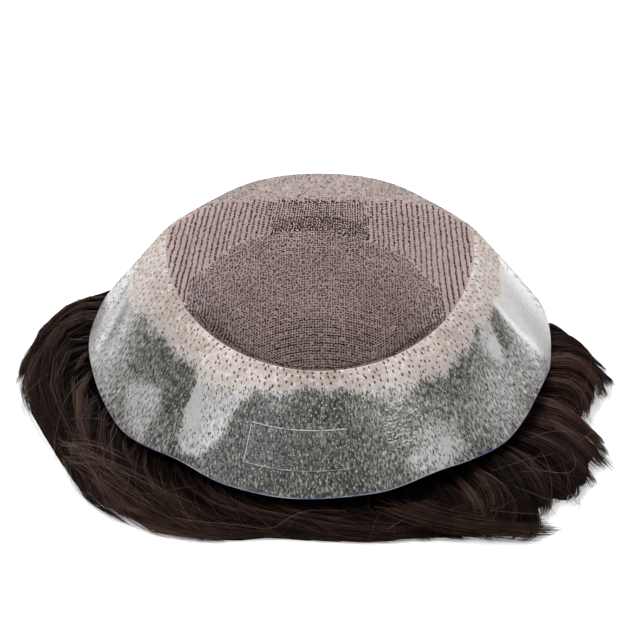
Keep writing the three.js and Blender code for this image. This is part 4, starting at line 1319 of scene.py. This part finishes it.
def hair_reach(degrees):
    return HAIR_REACH * read_around(HAIR_OUTLINE, degrees)


def hair_height(degrees, out, level=1.0):
    """Height of the top of the locks, or of a level in them, at a distance past the edge."""
    fall = read_table(HAIR_FALL, np.clip(out / hair_reach(degrees), 0, 1))
    height = EDGE_HEIGHT * read_around(HAIR_OUTLINE, degrees, "height") * fall * level
    ceiling = base_point(degrees, EDGE_SHARE)[..., 2] - EDGE_CLEARANCE + HAIR_RISE * np.clip(out, 0, None)
    return np.minimum(height, ceiling)


def hair_path(root, sweep, curl, reach_share, level, steps):
    """Paths of hairs: out from under the edge, then round with the sweep, and down to the surface."""
    t = np.linspace(0, 1, steps)
    degrees = root + sweep * t**1.3
    out = hair_reach(degrees) * reach_share * (1 - (1 - t) ** curl) - ROOT_INSET * (1 - t) ** 3
    x, y = past_edge(degrees, out)
    return np.stack([x, y, hair_height(degrees, out, level)], -1)


def zone_mass(zone, draw):
    """The zone's body of hair: a closed shell whose top is combed in grooves along its locks."""
    lines = (zone["to"] - zone["from"]) * MASS_LINES_A_DEGREE + 1
    root = np.linspace(zone["from"], zone["to"], lines)[:, None]
    sweep, curl = read_around(HAIR_SWEEP, root, "degrees"), read_around(HAIR_SWEEP, root, "curl")
    groove = np.convolve(draw.normal(0, 1, lines + 4), np.ones(5) / 3, "valid")[:, None]
    streak = draw.uniform(*MASS_GROOVES["streaks"], lines)[:, None]
    reach_share = zone["mass"] + MASS_GROOVES["reach"] * groove
    level = MASS_LEVEL + MASS_GROOVES["level"] * groove
    top = hair_path(root, sweep, curl, reach_share, level, MASS_STEPS)
    bottom = top.copy()
    bottom[..., 2] = HAIR_FLOOR
    points = np.stack([top, bottom], axis=1)
    tints = np.broadcast_to((MASS_TINT * streak)[:, None], points.shape[:3])
    return points.reshape(-1, 3), shell_faces(lines, MASS_STEPS), tints.ravel()


def zone_strands(zone, draw):
    """The zone's strands, gathered in locks that are ridged along their middle and narrow to a tip."""
    count, locks = zone["strands"], zone["locks"]
    spacing = (zone["to"] - zone["from"]) / locks
    lock_root = zone["from"] + (np.arange(locks) + draw.uniform(*LOCK_PLACE, locks)) * spacing
    lock_reach = draw.uniform(*LOCK_REACH, locks)
    lock_turn = draw.normal(*LOCK_TURN, locks)
    lock_curl = draw.normal(*LOCK_CURL, locks)
    lock_level = draw.uniform(*LOCK_LEVEL, locks)
    lock_tint = LOCK_TINT["least"] + LOCK_TINT["adds"] * draw.random(locks) ** 2
    lock_bow = draw.normal(0, LOCK_BOW, locks)
    member = draw.integers(locks, size=count)
    aside, waved, turned, short, lifted = draw.normal(0, 1, (5, count))
    ridge = np.exp(-(aside**2) / RIDGE_WIDTH)
    t = np.linspace(0, 1, STRAND_STEPS)
    scatter = aside * STRAND_SCATTER * spacing
    root = (lock_root[member] + scatter)[:, None] - scatter[:, None] * zone["narrow"] * t
    root = root + lock_bow[member][:, None] * np.sin(np.pi * t)
    root = root + STRAND_WAVE["size"] * np.sin(t * STRAND_WAVE["turns"] + waved[:, None]) * t
    table_root = lock_root[member][:, None]
    turn = lock_turn[member] + turned * STRAND_TURN
    sweep = read_around(HAIR_SWEEP, table_root, "degrees") * turn[:, None]
    curl = read_around(HAIR_SWEEP, table_root, "curl") * lock_curl[member][:, None]
    curl = np.maximum(curl, LEAST_CURL)
    taper = LOCK_TAPER * zone["narrow"]
    reach_share = lock_reach[member] * (1 - taper * np.minimum(aside**2, 3)) - np.abs(short) * STRAND_SHORT
    reach_share = np.clip(reach_share, *STRAND_REACH)[:, None]
    depth = draw.random(count) ** 1.5
    level = lock_level[member] * (STRAND_LEVEL["flat"] + STRAND_LEVEL["ridge"] * ridge)
    level = level * (1 - STRAND_LEVEL["deep"] * depth)
    level = level[:, None] + STRAND_LEVEL["lift"] * lifted[:, None] * t
    paths = hair_path(root, sweep, curl, reach_share, level, STRAND_STEPS)
    paths[..., 2] = np.maximum(paths[..., 2], STRAND_FLOOR)
    radii = STRAND_RADIUS * draw.uniform(*STRAND_WIDTHS, count)[:, None] * (1 - STRAND_TIP_TAPER * t**3)
    points, faces = tubes(paths, radii)
    # Streaks of lighter and darker strands, partly the hair's own tone and partly painted highlight.
    streak_count = int((zone["to"] - zone["from"] + 2 * STREAK_MARGIN) / STREAK_DEGREES)
    streaks = STREAK_TINT["least"] + STREAK_TINT["adds"] * draw.random(streak_count) ** 2
    streak = (root[:, 0] - zone["from"] + STREAK_MARGIN) / STREAK_DEGREES
    own_tint = np.interp(streak, np.arange(streak_count), streaks)
    own_tint = own_tint * draw.uniform(*STRAND_TINT["varies"], count)
    tints = lock_tint[member] * own_tint * read_around(HAIR_TONE_AND_LIGHT, lock_root[member], "tone")
    # Painted highlight along the lock's ridge, painted shade deep in it.
    tints = tints * (STRAND_TINT["flat"] + STRAND_TINT["ridge"] * ridge) * (1 - STRAND_TINT["deep"] * depth)
    tints = np.clip(tints, *STRAND_TINT["range"])
    shadow = ROOT_SHADOW["least"] + (1 - ROOT_SHADOW["least"]) * smooth(t / ROOT_SHADOW["until"])
    tints = np.repeat(tints[:, None] * shadow, 3, axis=1)
    return points.reshape(-1, 3), faces, tints.ravel()


for zone in HAIR_ZONES:
    draw = np.random.default_rng(zone["seed"])
    mass_points, mass_faces, mass_tints = zone_mass(zone, draw)
    points, faces, tints = zone_strands(zone, draw)
    points, tints = np.concatenate([mass_points, points]), np.concatenate([mass_tints, tints])
    faces = mass_faces + [face + len(mass_points) for face in faces]
    piece = add_piece(zone["name"] + "_locks", points, faces, hair, tints)
    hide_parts(zone["name"])

# Stray hairs
# Single hairs have come out of the locks. Some stick out past the outline, some lie across the locks
# in long light arcs, their pale brown partly a painted highlight.
STRAY_RADIUS = 0.00009
STRAY_WIDTHS = (0.7, 1.2)
STRAY_TIP_TAPER = 0.6
STRAY_FLOOR = 0.0006
STRAY = {"curl": (1.05, 1.9), "level": (0.7, 1.15), "tint": (0.3, 2.0)}
EDGE_STRAYS = table(
    "from to count sweep reach",
    (150, 200, 40, (20, 60), (0.95, 1.06)),
    (196, 250, 60, (10, 50), (0.95, 1.07)),
    (250, 290, 24, (5, 30), (0.9, 1.04)),
    (296, 368, 36, (-12, 4), (0.9, 1.05)),
)
TIP_LOCKS = table(
    "from to out_from out_to count spread",
    (288, 310.5, 0.004, 0.0395, 170, 2.6),
    (336, 329, 0.004, 0.036, 60, 2.2),
)
TIP_HEIGHT = {"root": 0.0075, "tip": 0.0022, "varies": 0.0008}
TIP_ENDS = {"short": 0.13, "aside": 0.02}
TIP_WAVE = {"size": 0.0006, "turns": 5}
TIP_TINT = (0.1, 1.4)
LONG_HAIR_RADIUS = 0.00005
LONG_HAIR_COLOUR = (0.3, 0.21, 0.17, 1)
LONG_HAIR_STEPS = 12
LONG_HAIR_LIFT = 0.0012  # over the locks that it lies on
LONG_HAIRS = table(
    "from to out_from out_to bow",
    (268, 240, 0.001, 0.017, 0.0),
    (196, 212, 0.002, 0.024, 0.004),
    (214, 223, 0.001, 0.023, -0.004),
    (204, 222, 0.002, 0.026, 0.005),
    (324, 334, 0.006, 0.034, -0.006),
    (316, 326, 0.014, 0.02, 0.009),
    (310, 320, 0.017, 0.026, 0.009),
    (303, 318, 0.02, 0.034, 0.004),
    (322, 309, 0.012, 0.033, 0.003),
    (284, 300, 0.009, 0.018, -0.004),
)
LONG_HAIR_FLOOR = 0.0008
LONG_HAIR_TINT = 1.2
LOOSE_COUNT = 40  # from the left round to the right
LOOSE = {
    "from": (185, 345), "out_from": (0.05, 0.6), "out_to": (0.4, 0.98),
    "sweep": (6, 12), "bow": (0, 0.003), "tint": (0, 0.6),
}
FAN_COUNT = 46  # at the lower left, over the notch in the locks
FAN = {
    "from": (211, 2.5), "out_from": (0.75, 0.97), "out_to": (0.3, 0.99),
    "sweep": (8, 32), "bow": (-0.001, 0.0015), "tint": (0.1, 0.9),
}

draw = np.random.default_rng(25)
paths, tints = [], []
for side in EDGE_STRAYS:
    root = draw.uniform(side["from"], side["to"], (side["count"], 1))
    sweep = draw.uniform(*side["sweep"], root.shape)
    curl = draw.uniform(*STRAY["curl"], root.shape)
    reach_share = draw.uniform(*side["reach"], root.shape)
    level = draw.uniform(*STRAY["level"], root.shape) * np.ones(LONG_HAIR_STEPS)
    path = hair_path(root, sweep, curl, reach_share, level, LONG_HAIR_STEPS)
    path[..., 2] = np.maximum(path[..., 2], STRAY_FLOOR)
    paths.append(path)
    tints.append(draw.uniform(*STRAY["tint"], side["count"]))

t = np.linspace(0, 1, LONG_HAIR_STEPS)
for lock in TIP_LOCKS:
    aside, short, waved = draw.normal(0, 1, (3, lock["count"], 1))
    ends = 1 - TIP_ENDS["short"] * np.abs(short) - TIP_ENDS["aside"] * aside**2
    degrees = lock["from"] + (lock["to"] - lock["from"]) * t * ends + lock["spread"] * aside * (1 - 0.5 * t)
    out = lock["out_from"] + (lock["out_to"] - lock["out_from"]) * t * ends
    out = out + TIP_WAVE["size"] * waved * np.sin(TIP_WAVE["turns"] * t + waved)
    x, y = past_edge(degrees, out)
    height = TIP_HEIGHT["root"] * (1 - t) + TIP_HEIGHT["tip"] + TIP_HEIGHT["varies"] * np.abs(waved)
    paths.append(np.stack([x, y, height + 0 * x], -1))
    tints.append(draw.uniform(*TIP_TINT, lock["count"]))

charted = np.array([list(row.values()) for row in LONG_HAIRS]).T
start = draw.uniform(*LOOSE["from"], LOOSE_COUNT)
loose_out = [draw.uniform(*LOOSE[end], LOOSE_COUNT) * hair_reach(start) for end in ("out_from", "out_to")]
loose_to = start + draw.normal(*LOOSE["sweep"], LOOSE_COUNT)
loose = [start, loose_to, *loose_out, draw.normal(*LOOSE["bow"], LOOSE_COUNT)]
fan_from = draw.normal(*FAN["from"], FAN_COUNT)
fan_to = fan_from + draw.uniform(*FAN["sweep"], FAN_COUNT)
fan_out_from = hair_reach(fan_from) * draw.uniform(*FAN["out_from"], FAN_COUNT)
fan_out_to = hair_reach(fan_to) * draw.uniform(*FAN["out_to"], FAN_COUNT)
fan = [fan_from, fan_to, fan_out_from, fan_out_to, draw.normal(*FAN["bow"], FAN_COUNT)]
long_from, long_to, out_from, out_to, bow = np.concatenate([charted, loose, fan], axis=1)[..., None]
degrees = long_from + (long_to - long_from) * t
out = out_from + (out_to - out_from) * t + bow * np.sin(np.pi * t)
x, y = past_edge(degrees, out)
height = np.maximum(hair_height(degrees, out), LONG_HAIR_FLOOR) + LONG_HAIR_LIFT
long_paths = np.stack([x, y, height], -1)
long_tints = [np.full(len(LONG_HAIRS), LONG_HAIR_TINT)]
long_tints += [draw.uniform(*LOOSE["tint"], LOOSE_COUNT), draw.uniform(*FAN["tint"], FAN_COUNT)]
# pale brown, partly the hairs' own and partly a painted highlight
light_hair = hair_material("light_stray_hair", HAIR_BROWN, LONG_HAIR_COLOUR)
for name, paths, tints, material, radius in (
    ("stray_hairs", np.concatenate(paths), np.concatenate(tints), hair, STRAY_RADIUS),
    ("long_light_hairs", long_paths, np.concatenate(long_tints), light_hair, LONG_HAIR_RADIUS),
):
    radii = radius * draw.uniform(*STRAY_WIDTHS, (len(paths), 1)) * (1 - STRAY_TIP_TAPER * t**3)
    points, faces = tubes(paths, radii)
    add_piece(name, points, faces, material, np.repeat(tints, points[0].size // 3))

# Stage
# The hairpiece lies on a plain pale floor in a pale room, in the light of three large soft lamps.
# They are for the picture only, and don't belong to the piece.
FLOOR_SIZE = 6
FLOOR_COLOUR = (0.93, 0.93, 0.93, 1)
FLOOR_GLOW = 0.34
ROOM_GLOW = 0.3
LIGHTS = table(
    "name at size watts",
    ("key", (-0.5, -0.5, 1.0), 0.45, 10),
    ("fill", (0.9, -0.6, 0.7), 0.8, 6),
    ("back", (0.1, 0.9, 0.9), 0.7, 10),
)

floor_mesh = bpy.data.meshes.new("floor")
half = FLOOR_SIZE / 2
corners = [(-half, -half, 0), (half, -half, 0), (half, half, 0), (-half, half, 0)]
floor_mesh.from_pydata(corners, [], [(0, 1, 2, 3)])
pale = Finish("pale_floor", 0.8)
floor_mesh.materials.append(
    pale.done({"Base Color": FLOOR_COLOUR, "Emission Color": FLOOR_COLOUR, "Emission Strength": FLOOR_GLOW})
)
floor = bpy.data.objects.new("floor", floor_mesh)
bpy.context.scene.collection.objects.link(floor)

for light in LIGHTS:
    data = bpy.data.lights.new(light["name"], "AREA")
    data.energy = light["watts"]
    data.size = light["size"]
    lamp = bpy.data.objects.new(light["name"], data)
    lamp.location = light["at"]
    lamp.rotation_mode = "QUATERNION"
    lamp.rotation_quaternion = (VIEW_TARGET - Vector(light["at"])).to_track_quat("-Z", "Y")
    bpy.context.scene.collection.objects.link(lamp)

world = bpy.data.worlds.new("pale_room")
world.use_nodes = True
world.node_tree.nodes["Background"].inputs["Color"].default_value = (1, 1, 1, 1)
world.node_tree.nodes["Background"].inputs["Strength"].default_value = ROOM_GLOW
bpy.context.scene.world = world
bpy.context.scene.view_settings.view_transform = "Standard"
